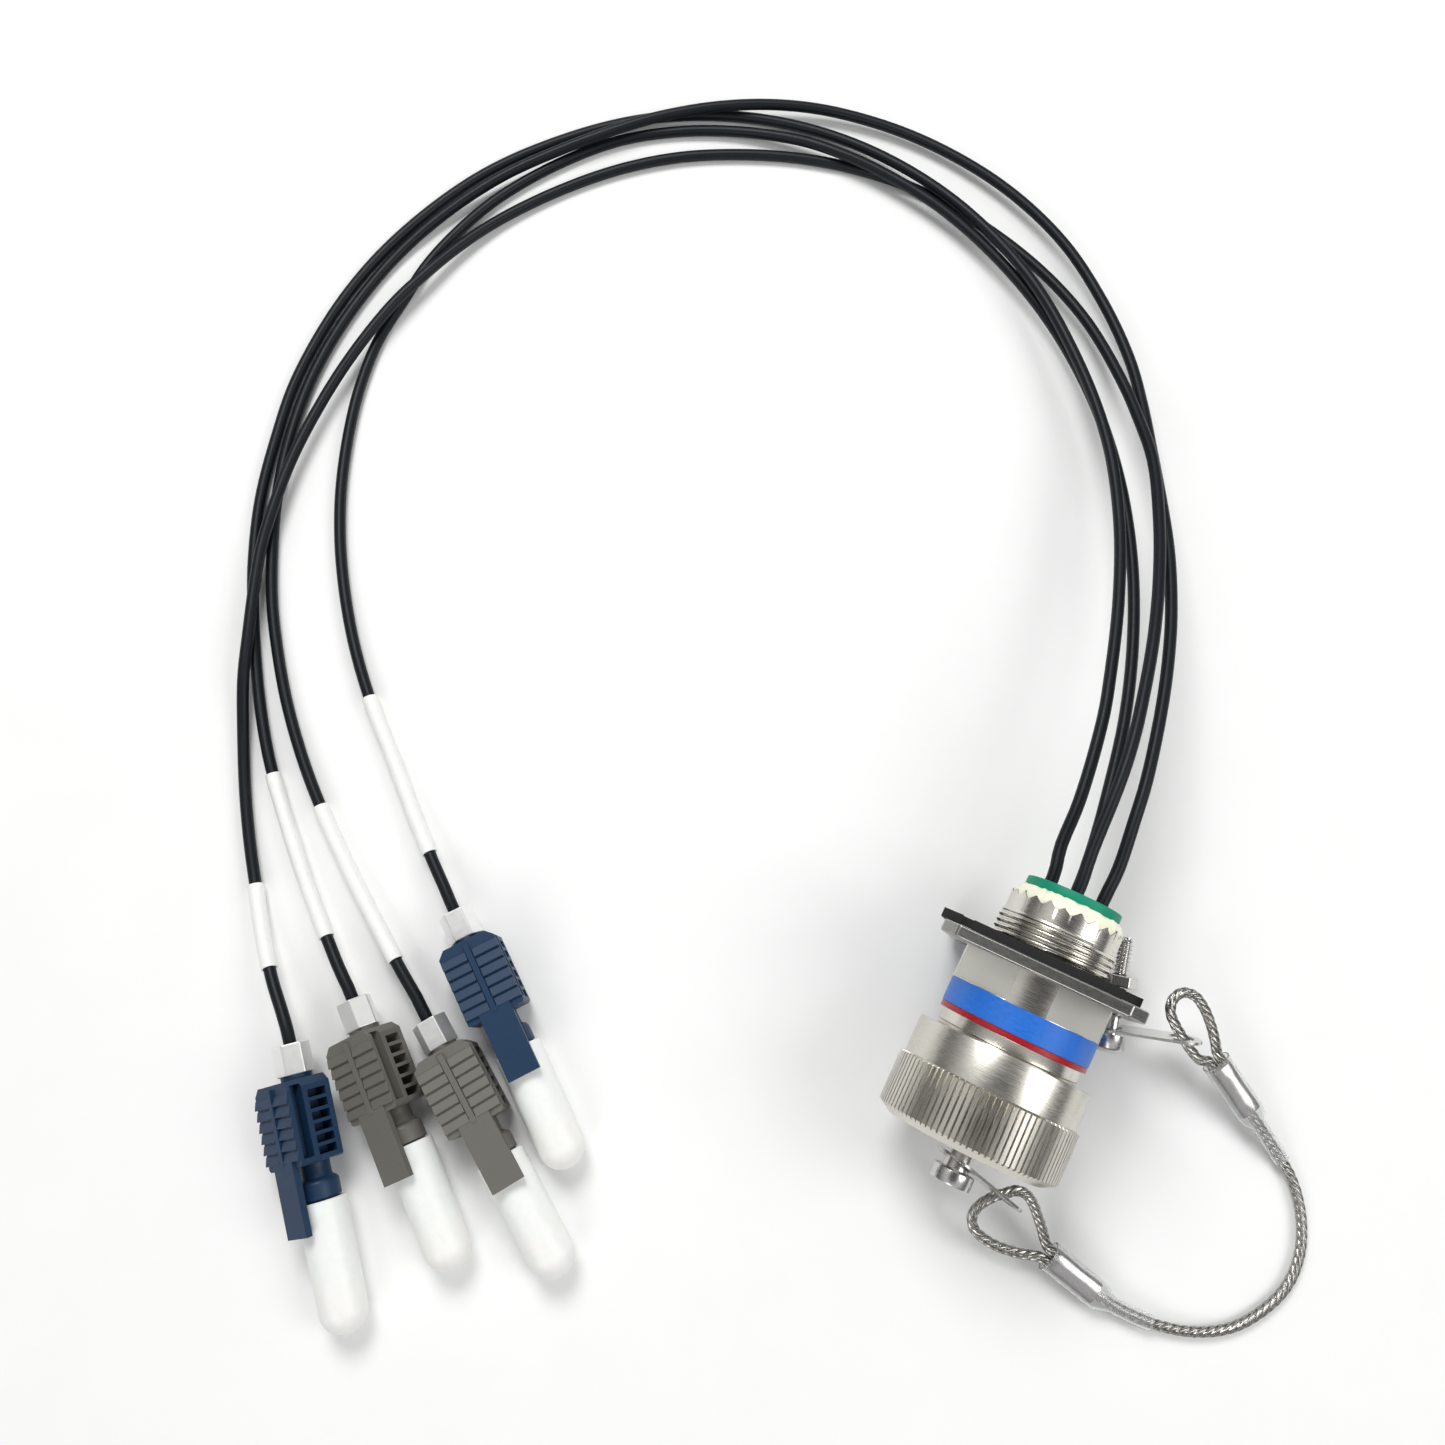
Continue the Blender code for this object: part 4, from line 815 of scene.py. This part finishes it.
def add_cap(frame):
    flute = 2 * math.pi / KNURL_FLUTES

    def knurl(angle):
        phase = (angle / flute) % 1.0
        return KNURL_R - (KNURL_DEPTH if phase > 0.75 else 0.0)
    shoulder = eased([(KNURL_REAR - 0.6, CAP_SHOULDER_R), (CAP_MOUTH, CAP_SHOULDER_R),
                      (CAP_MOUTH, CAP_BORE_R), (CAP_BORE_BOTTOM, CAP_BORE_R), (CAP_BORE_BOTTOM, 0)], 0.25)
    piece("cap_shoulder", turned(shoulder, even_angles(144)), frame, "satin", "cap",
          ["protective_cap"])
    ring = [(KNURL_REAR, CAP_BORE_R + 0.2), (KNURL_REAR, KNURL_R - 0.6), (KNURL_REAR - 0.1, KNURL_R - 0.45),
            (KNURL_REAR - 0.35, knurl), (KNURL_FRONT + 0.35, knurl), (KNURL_FRONT, KNURL_R - 0.45),
            (CAP_END + 0.15, CAP_END_R), (CAP_END, CAP_END_R - 0.2), (CAP_END, NECK_R + 1.6),
            (CAP_END + 0.3, NECK_R + 1.4), (CAP_END + 0.3, 0)]
    piece("cap_knurled_ring", turned(ring, even_angles(KNURL_FLUTES * 6)), frame, "knurled", "cap",
          smooth=28)
    screw = eased([(CAP_END + 0.5, 0), (CAP_END + 0.5, NECK_R), (HEAD_REAR, NECK_R), (HEAD_REAR, HEAD_R),
                   (HEAD_FRONT, HEAD_R), (HEAD_FRONT, HEAD_R - 0.7), (HEAD_FRONT + 0.15, HEAD_R - 0.8),
                   (HEAD_FRONT + 0.15, 0)], 0.3)
    piece("cap_screw_head", turned(screw, even_angles(64)), frame, "steel", "cap", ["cap_screw"])
    turn = Matrix.Rotation(-math.radians(CAP_LUG_TURN_DEG), 4, "Y")
    tilt = Matrix.Rotation(-math.radians(CAP_LUG_TILT_DEG), 4, "Z")
    place = frame @ Matrix.Translation((0.0, CAP_LUG_STATION, 0.0)) @ turn @ tilt
    add_lug("cap_lug_plate", place, CAP_LUG_ROOT_R, CAP_LUG_HOLE_D, CAP_LUG_SPACING, "cap_carrier",
            "cap_lug")


def add_lug(name, frame, root_r, root_hole, spacing, body, node):
    lean = math.asin((root_r - EYE_R) / spacing)
    root = [math.pi / 2 - lean + (math.pi + 2 * lean) * i / 24 for i in range(25)]
    end = [-math.pi / 2 + lean + (math.pi - 2 * lean) * i / 24 for i in range(25)]
    outline = [(root_r * math.cos(a), root_r * math.sin(a)) for a in root]
    outline += [(spacing + EYE_R * math.cos(a), EYE_R * math.sin(a)) for a in end]
    plate = new_object(name, prism(outline, -LUG_THICK / 2, LUG_THICK / 2), frame)
    holes = joined([rod(0.0, 0.0, root_hole / 2, -1.0, 1.0, 48),
                    rod(spacing, 0.0, EYE_D / 2, -1.0, 1.0, 48)])
    boolean(plate, holes, frame)
    dress(plate, "steel", body, [node], bevel=0.08)


def add_flange_screw(frame):
    tilt = Matrix.Rotation(math.radians(SCREW_TILT_DEG), 4, "Z")
    place = frame @ Matrix.Translation((HOLE_OFFSET, SCREW_MIDDLE, -HOLE_OFFSET)) @ tilt
    head = [(SCREW_HEAD_FRONT, 0), (SCREW_HEAD_FRONT, 1.5), (SCREW_HEAD_FRONT + 0.35, 2.25),
            (SCREW_HEAD_FRONT + 0.9, SCREW_HEAD_R), (SCREW_HEAD_REAR, SCREW_HEAD_R),
            (SCREW_HEAD_REAR, SCREW_R), (-2.0, SCREW_R)]
    shank = threaded(SCREW_TIP - 0.3, -2.0, SCREW_R + 0.05, SCREW_THREAD_DEPTH, SCREW_THREAD_PITCH)[::-1]
    stations = head + shank + [(SCREW_TIP, SCREW_R - 0.35), (SCREW_TIP, 0)]
    screw = new_object("loose_screw", turned(stations, even_angles(36)), place)
    a, b = RECESS_REACH, RECESS_HALF_WIDTH
    cross = [(a, -b), (a, b), (b, b), (b, a), (-b, a), (-b, b),
             (-a, b), (-a, -b), (-b, -b), (-b, -a), (b, -a), (b, -b)]
    recess = prism(cross, SCREW_HEAD_FRONT - 1, SCREW_HEAD_FRONT + RECESS_DEPTH)
    boolean(screw, recess, place)
    dress(screw, "steel", "receptacle", ["flange_screw"], smooth=50)
    corner = NUT_ACROSS_FLATS / 2 / math.cos(math.pi / 6)
    hexagon = [(corner * math.cos(a), corner * math.sin(a)) for a in even_angles(6)]
    nut = new_object("hex_nut", prism(hexagon, NUT_FRONT, NUT_REAR), place)
    boolean(nut, rod(0.0, 0.0, SCREW_R - 0.05, 0.0, 9.0), place)
    dress(nut, "steel", "receptacle", ["flange_nut"], bevel=0.25)
    turn = Matrix.Rotation(-math.radians(FLANGE_LUG_TURN_DEG), 4, "Y")
    lug_tilt = Matrix.Rotation(math.radians(FLANGE_LUG_TILT_DEG), 4, "Z")
    lug_roll = Matrix.Rotation(math.radians(FLANGE_LUG_ROLL_DEG), 4, "X")
    lug_place = place @ Matrix.Translation((0.0, FLANGE_LUG_STATION, 0.0)) @ turn @ lug_tilt @ lug_roll
    add_lug("flange_lug_plate", lug_place, FLANGE_LUG_ROOT_R, FLANGE_LUG_HOLE_D, FLANGE_LUG_SPACING,
            "receptacle", "flange_lug")


# Lanyard

def ferrule_shape(length):
    """A crimped oval tube, flattened and drawn in at its middle."""
    verts, rings, faces = [], [], []
    count = 40
    stations = [(0.0, 0.86), (0.12, 0.97), (0.5, 1.0), (length * 0.25, 0.97), (length * 0.5, 0.93),
                (length * 0.75, 0.97), (length - 0.5, 1.0), (length - 0.12, 0.97), (length, 0.86)]
    for along, share in stations:
        ring = []
        for angle in even_angles(count):
            x, z = math.cos(angle), math.sin(angle)
            x = math.copysign(abs(x) ** 0.72, x) * FERRULE_HALF_WIDTH * share
            z = math.copysign(abs(z) ** 0.62, z) * FERRULE_HALF_HEIGHT * share
            ring.append(len(verts))
            verts.append((x, along, z))
        rings.append(ring)
    for first, second in zip(rings, rings[1:]):
        for i in range(count):
            j = (i + 1) % count
            faces.append((first[i], first[j], second[j], second[i]))
    faces += [tuple(rings[0]), tuple(reversed(rings[-1]))]
    return verts, faces


def add_lanyard_end(name, ferrule, loop, run, body):
    start, end = floor_point(ferrule[0]), floor_point(ferrule[1])
    frame = axis_frame(start, end)
    length = (end - start).length
    crimp = piece("lanyard_ferrule_" + name, ferrule_shape(length), frame, "chrome", body,
                  ["ferrule_" + name], smooth=40)
    ends = [frame @ Vector((side * ROPE_SPREAD, 0.6, 0.0)) for side in (1, -1)]
    backs = [frame @ Vector((side * ROPE_SPREAD, -1.7, 0.0)) for side in (1, -1)]
    inner = [floor_point(p) for p in loop]
    if (ends[0] - inner[0]).length > (ends[1] - inner[0]).length:
        ends.reverse()
        backs.reverse()
    route = [ends[0], backs[0]] + inner + [backs[1], ends[1]]
    eye = piece("lanyard_eye_" + name, rope(spaced(smooth_curve(route), 0.25)), Matrix.Identity(4),
                "rope", body, ["lanyard_loop_" + name], smooth=60)
    path = [np.array(frame @ Vector((0.0, s, 0.0))) for s in np.linspace(-0.8, length + 0.3, 10)]
    path += list(run)
    sizes = []
    for i in range(len(path)):
        blend = min(1.0, max(0.0, (i - 9) / 3.0))
        blend = blend * blend * (3 - 2 * blend)
        flare = SLEEVE_FLARE if i == 0 else 0.0
        sizes.append(tuple(half + flare + (SLEEVE_ON_ROPE_R - half) * blend
                           for half in (SLEEVE_HALF_WIDTH, SLEEVE_HALF_HEIGHT)))
    outer = [(w + SLEEVE_WALL, h + SLEEVE_WALL) for w, h in sizes]
    cover = piece("lanyard_sleeve_" + name, hollow_sleeve(np.array(path), sizes, outer), Matrix.Identity(4),
                  "clear", body, ["sleeve_" + name], smooth=60)
    return [crimp, eye, cover]


def add_lanyard():
    first = axis_frame(floor_point(FLANGE_FERRULE[0]), floor_point(FLANGE_FERRULE[1]))
    first_length = (Vector(FLANGE_FERRULE[1]) - Vector(FLANGE_FERRULE[0])).length
    last = axis_frame(floor_point(CAP_FERRULE[1]), floor_point(CAP_FERRULE[0]))
    last_length = (Vector(CAP_FERRULE[1]) - Vector(CAP_FERRULE[0])).length
    start = first @ Vector((0.0, first_length - 0.5, 0.0))
    end = last @ Vector((0.0, last_length - 0.5, 0.0))
    curve = smooth_curve([start] + [floor_point(p) for p in LANYARD_RUN] + [end])
    points = spaced(curve, 0.25)
    run = new_object("lanyard_rope", rope(points), Matrix.Identity(4))
    run.data.materials.append(MATERIALS["rope"])
    run.data.shade_smooth()
    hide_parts("lanyard_run")
    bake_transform(run)
    near = spaced(curve, 1.0)
    on_flange = add_lanyard_end("flange", FLANGE_FERRULE, FLANGE_LOOP, near[2:12], "receptacle")
    on_cap = add_lanyard_end("cap", (CAP_FERRULE[1], CAP_FERRULE[0]), CAP_LOOP, near[::-1][2:12],
                             "cap_carrier")


# Cables and plugs

def plug_ribs():
    """Gripping steps in two columns with a smooth rib between."""
    spine_end = RIB_FIRST + RIB_PITCH * RIB_ROWS + 0.2
    shapes = [box((-0.5, RIB_FIRST - 1.2, BODY_TOP - 0.1), (0.5, spine_end, RIB_TOP))]
    for side in (-1, 1):
        x = sorted((side * 0.62, side * (BODY_HALF - 0.02)))
        for row in range(RIB_ROWS):
            near = RIB_FIRST + RIB_PITCH * row
            far = near + RIB_PITCH - 0.3
            tooth = [(near, BODY_TOP - 0.1), (near, BODY_TOP + 0.14), (far - 0.1, RIB_TOP),
                     (far, RIB_TOP - 0.06), (far, BODY_TOP - 0.1)]
            shapes.append(prism(tooth, x[0], x[1], "X"))
    return joined(shapes)


def plug_cuts():
    shapes = []
    for side in (-1, 1):
        reach = side * (BODY_HALF + 1.0)
        deep = sorted((side * (BODY_HALF - GROOVE_DEPTH), reach))
        shapes.append(box((deep[0], GROOVE_REAR, GROOVE_LOW), (deep[1], GROOVE_FRONT, GROOVE_HIGH)))
        shallow = sorted((side * (BODY_HALF - WINDOW_DEPTH), reach))
        for row in range(RIB_ROWS):
            near = WINDOW_FIRST + WINDOW_PITCH * row
            far = near + WINDOW_LENGTH
            shapes.append(box((shallow[0], near, WINDOW_LOW), (shallow[1], far, WINDOW_HIGH)))
    return joined(shapes)


def add_plug(key, look):
    start, end, roll = PLUGS[key]
    frame = axis_frame(floor_point(start), floor_point(end), roll)
    hexagon = [(CRIMP_CORNER_R * math.cos(a), CRIMP_CORNER_R * math.sin(a)) for a in even_angles(6)]
    crimp = new_object("crimp_ring_" + key, prism(hexagon, 0.0, CRIMP_LENGTH), frame)
    boolean(crimp, rod(0.0, 0.0, CABLE_D / 2 + 0.15, -1.0, 2.6), frame)
    dress(crimp, "crimp", "receptacle", ["crimp_" + key], bevel=0.22)

    shoulder = BODY_REAR + BODY_CHAMFER
    outline = [(-BODY_HALF + BODY_CHAMFER, BODY_REAR), (BODY_HALF - BODY_CHAMFER, BODY_REAR),
               (BODY_HALF, shoulder), (BODY_HALF, BODY_FRONT - 0.3), (BODY_HALF - 0.5, BODY_FRONT),
               (-BODY_HALF + 0.5, BODY_FRONT), (-BODY_HALF, BODY_FRONT - 0.3), (-BODY_HALF, shoulder)]
    housing = new_object("plug_housing_" + key, prism(outline, BODY_LOW, BODY_TOP, "Z"), frame)
    boolean(housing, plug_cuts(), frame)
    arm = box((-ARM_HALF, BODY_FRONT - 1.5, ARM_LOW), (ARM_HALF, ARM_FRONT, RIB_TOP - 0.1))
    boolean(housing, arm, frame, "UNION")
    boolean(housing, rod(0.0, 0.0, DUST_CAP_R + 0.3, BODY_FRONT, ARM_FRONT + 1.0, 64), frame)
    dress(housing, look, "receptacle", ["plug_" + key], smooth=25, bevel=0.12)
    ribs = piece("plug_ribs_" + key, plug_ribs(), frame, look, "receptacle", smooth=25, bevel=0.06)

    rear = [(CRIMP_LENGTH - 0.2, 0), (CRIMP_LENGTH - 0.2, REAR_NECK_R), (BODY_REAR + 0.6, REAR_NECK_R),
            (BODY_REAR + 0.6, 0)]
    front = [(BODY_FRONT - 0.6, 0), (BODY_FRONT - 0.6, FRONT_NECK_R),
             (BODY_FRONT + 0.9, FRONT_NECK_R - 0.15), (COLLAR_REAR - 0.2, FRONT_NECK_R - 0.1),
             (COLLAR_REAR + 0.3, COLLAR_R - 0.2), (COLLAR_REAR + 0.7, COLLAR_R), (COLLAR_FRONT, COLLAR_R),
             (COLLAR_FRONT, NOSE_R), (NOSE_FRONT - 0.4, NOSE_R), (NOSE_FRONT, NOSE_R - 0.4),
             (NOSE_FRONT, 0)]
    core = joined([turned(eased(rear, 0.15), even_angles(48)), turned(eased(front, 0.15), even_angles(48))])
    spine = piece("plug_core_" + key, core, frame, look, "receptacle")
    return [crimp, housing, ribs, spine, add_dust_cap(key, frame)]


def add_dust_cap(key, frame):
    outer = DUST_CAP_R
    dome = [(DUST_CAP_END - outer + outer * math.sin(a), outer * 0.97 * math.cos(a))
            for a in np.linspace(0.12, math.pi / 2 - 0.08, 12)]
    bore = DUST_CAP_BORE_R
    stations = [(DUST_CAP_BORE_END, 0), (DUST_CAP_BORE_END, bore), (DUST_CAP_REAR, bore),
                (DUST_CAP_REAR, outer - 0.15), (DUST_CAP_REAR + 0.12, outer - 0.02),
                (DUST_CAP_REAR + 0.4, outer), (32.0, outer * 0.985), (40.0, outer * 0.975)]
    stations += dome + [(DUST_CAP_END, 0)]
    return piece("soft_cap_" + key, turned(stations, even_angles(64)), frame, "white",
                 "dust_cap_body_" + key, ["dust_cap_" + key], smooth=40)


def add_cable(key, frame, pieces):
    x, z = EXITS[key]
    leave = [frame @ Vector((x, INSERT_REAR + s, z)) for s in (-0.9, 2.0)]
    rear, tip = floor_point(PLUGS[key][0]), floor_point(PLUGS[key][1])
    forward = (tip - rear).normalized()
    arrive = [rear - forward * 2.0, rear + forward * 1.6]
    curve = smooth_curve(leave + [floor_point(p) for p in ROUTES[key]] + arrive)
    points = spaced(curve, 2.0)
    line = bpy.data.curves.new("fibre_cable_" + key, "CURVE")
    line.dimensions = "3D"
    line.bevel_depth = CABLE_D / 2 * MM
    line.bevel_resolution = 5
    line.use_fill_caps = True
    spline = line.splines.new("POLY")
    spline.points.add(len(points) - 1)
    for place, point in zip(spline.points, points):
        place.co = (*(Vector(point) * MM), 1.0)
    spline.use_smooth = True
    item = bpy.data.objects.new("fibre_cable_" + key, line)
    bpy.context.scene.collection.objects.link(item)
    dress(item, "cable", "receptacle", ["cable_" + key])

    ends = [np.array(floor_point(p)) for p in LABELS[key]]
    low, high = [int(np.argmin(np.linalg.norm(curve - p, axis=1))) for p in ends]
    path = spaced(curve[low:high + 1], 0.8)
    wave = [0.025 * math.sin(i * 0.9) + 0.02 * math.sin(i * 0.37 + 1.0) for i in range(len(path))]
    inner = [(LABEL_BORE_R, LABEL_BORE_R)] * len(path)
    outer = [(LABEL_R + w, LABEL_R - w) for w in wave]
    label = piece("white_label_" + key, hollow_sleeve(path, inner, outer), Matrix.Identity(4), "label",
                  "receptacle", ["label_" + key], smooth=60)


# Stage

def add_camera():
    data = bpy.data.cameras.new("photo_camera")
    data.lens = CAMERA_LENS
    data.sensor_width = 36.0
    data.clip_start = 0.01
    camera = bpy.data.objects.new("photo_camera", data)
    right, up = Vector(CAMERA_RIGHT), Vector(CAMERA_UP)
    turn = Matrix((right, up, right.cross(up))).transposed().to_4x4()
    camera.matrix_world = Matrix.Translation(Vector(CAMERA_PLACE) * MM) @ turn
    bpy.context.scene.collection.objects.link(camera)
    bpy.context.scene.camera = camera


def add_light(name, place, aim, width, power):
    data = bpy.data.lights.new(name, "AREA")
    data.shape = "DISK"
    data.size = width
    data.energy = power
    light = bpy.data.objects.new(name, data)
    light.location = place
    light.rotation_mode = "QUATERNION"
    light.rotation_quaternion = (Vector(aim) - Vector(place)).to_track_quat("-Z", "Y")
    bpy.context.scene.collection.objects.link(light)


def add_stage():
    floor = new_object("paper_floor", prism([(-900, -900), (900, -900), (900, 900), (-900, 900)],
                                            -2.0, 0.0, "Z"), Matrix.Identity(4))
    paper = finish("floor_paper", (0.90, 0.905, 0.895), 0.9, 0.0, (60, 60, 60), 0.01, 0.05, 0.1, 0.05)
    floor.data.materials.append(paper)
    centre = (-0.05, -0.02, 0.0)
    add_light("key_light", (-0.32, 0.30, 0.55), centre, 0.30, 2.5)
    add_light("fill_light", (0.40, 0.10, 0.45), centre, 0.35, 1.2)
    add_light("front_light", (-0.10, -0.50, 0.40), centre, 0.30, 0.7)
    world = bpy.data.worlds.new("studio")
    world.use_nodes = True
    nodes, links = world.node_tree.nodes, world.node_tree.links
    sky = nodes["Background"]
    place = nodes.new("ShaderNodeTexCoord")
    split = nodes.new("ShaderNodeSeparateXYZ")
    ramp = nodes.new("ShaderNodeValToRGB")
    stops = ((0.02, 0.06), (0.35, 0.40), (0.70, 1.0), (0.86, 1.0), (0.95, 0.18), (1.0, 0.09))
    for number, (position, grey) in enumerate(stops):
        elements = ramp.color_ramp.elements
        stop = elements[number] if number < 2 else elements.new(position)
        stop.position = position
        stop.color = (grey, grey, grey, 1.0)
    links.new(place.outputs["Generated"], split.inputs["Vector"])
    links.new(split.outputs["Z"], ramp.inputs["Fac"])
    links.new(ramp.outputs["Color"], sky.inputs["Color"])
    sky.inputs["Strength"].default_value = 0.62
    bpy.context.scene.world = world
    bpy.context.scene.view_settings.view_transform = "Standard"


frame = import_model()
MATERIALS = make_materials()
add_camera()
add_stage()
PLACE = connector_frame()
for letter, look_name, slot_name in (("a", "grey", "plug_grey"), ("b", "blue", "plug_blue"),
                                     ("c", "blue", "plug_blue"), ("d", "grey", "plug_grey")):
    add_cable(letter, PLACE, add_plug(letter, look_name))
add_lanyard()
add_receptacle(PLACE)
add_cap(cap_frame(PLACE))
add_flange_screw(PLACE)

bpy.context.view_layer.update()
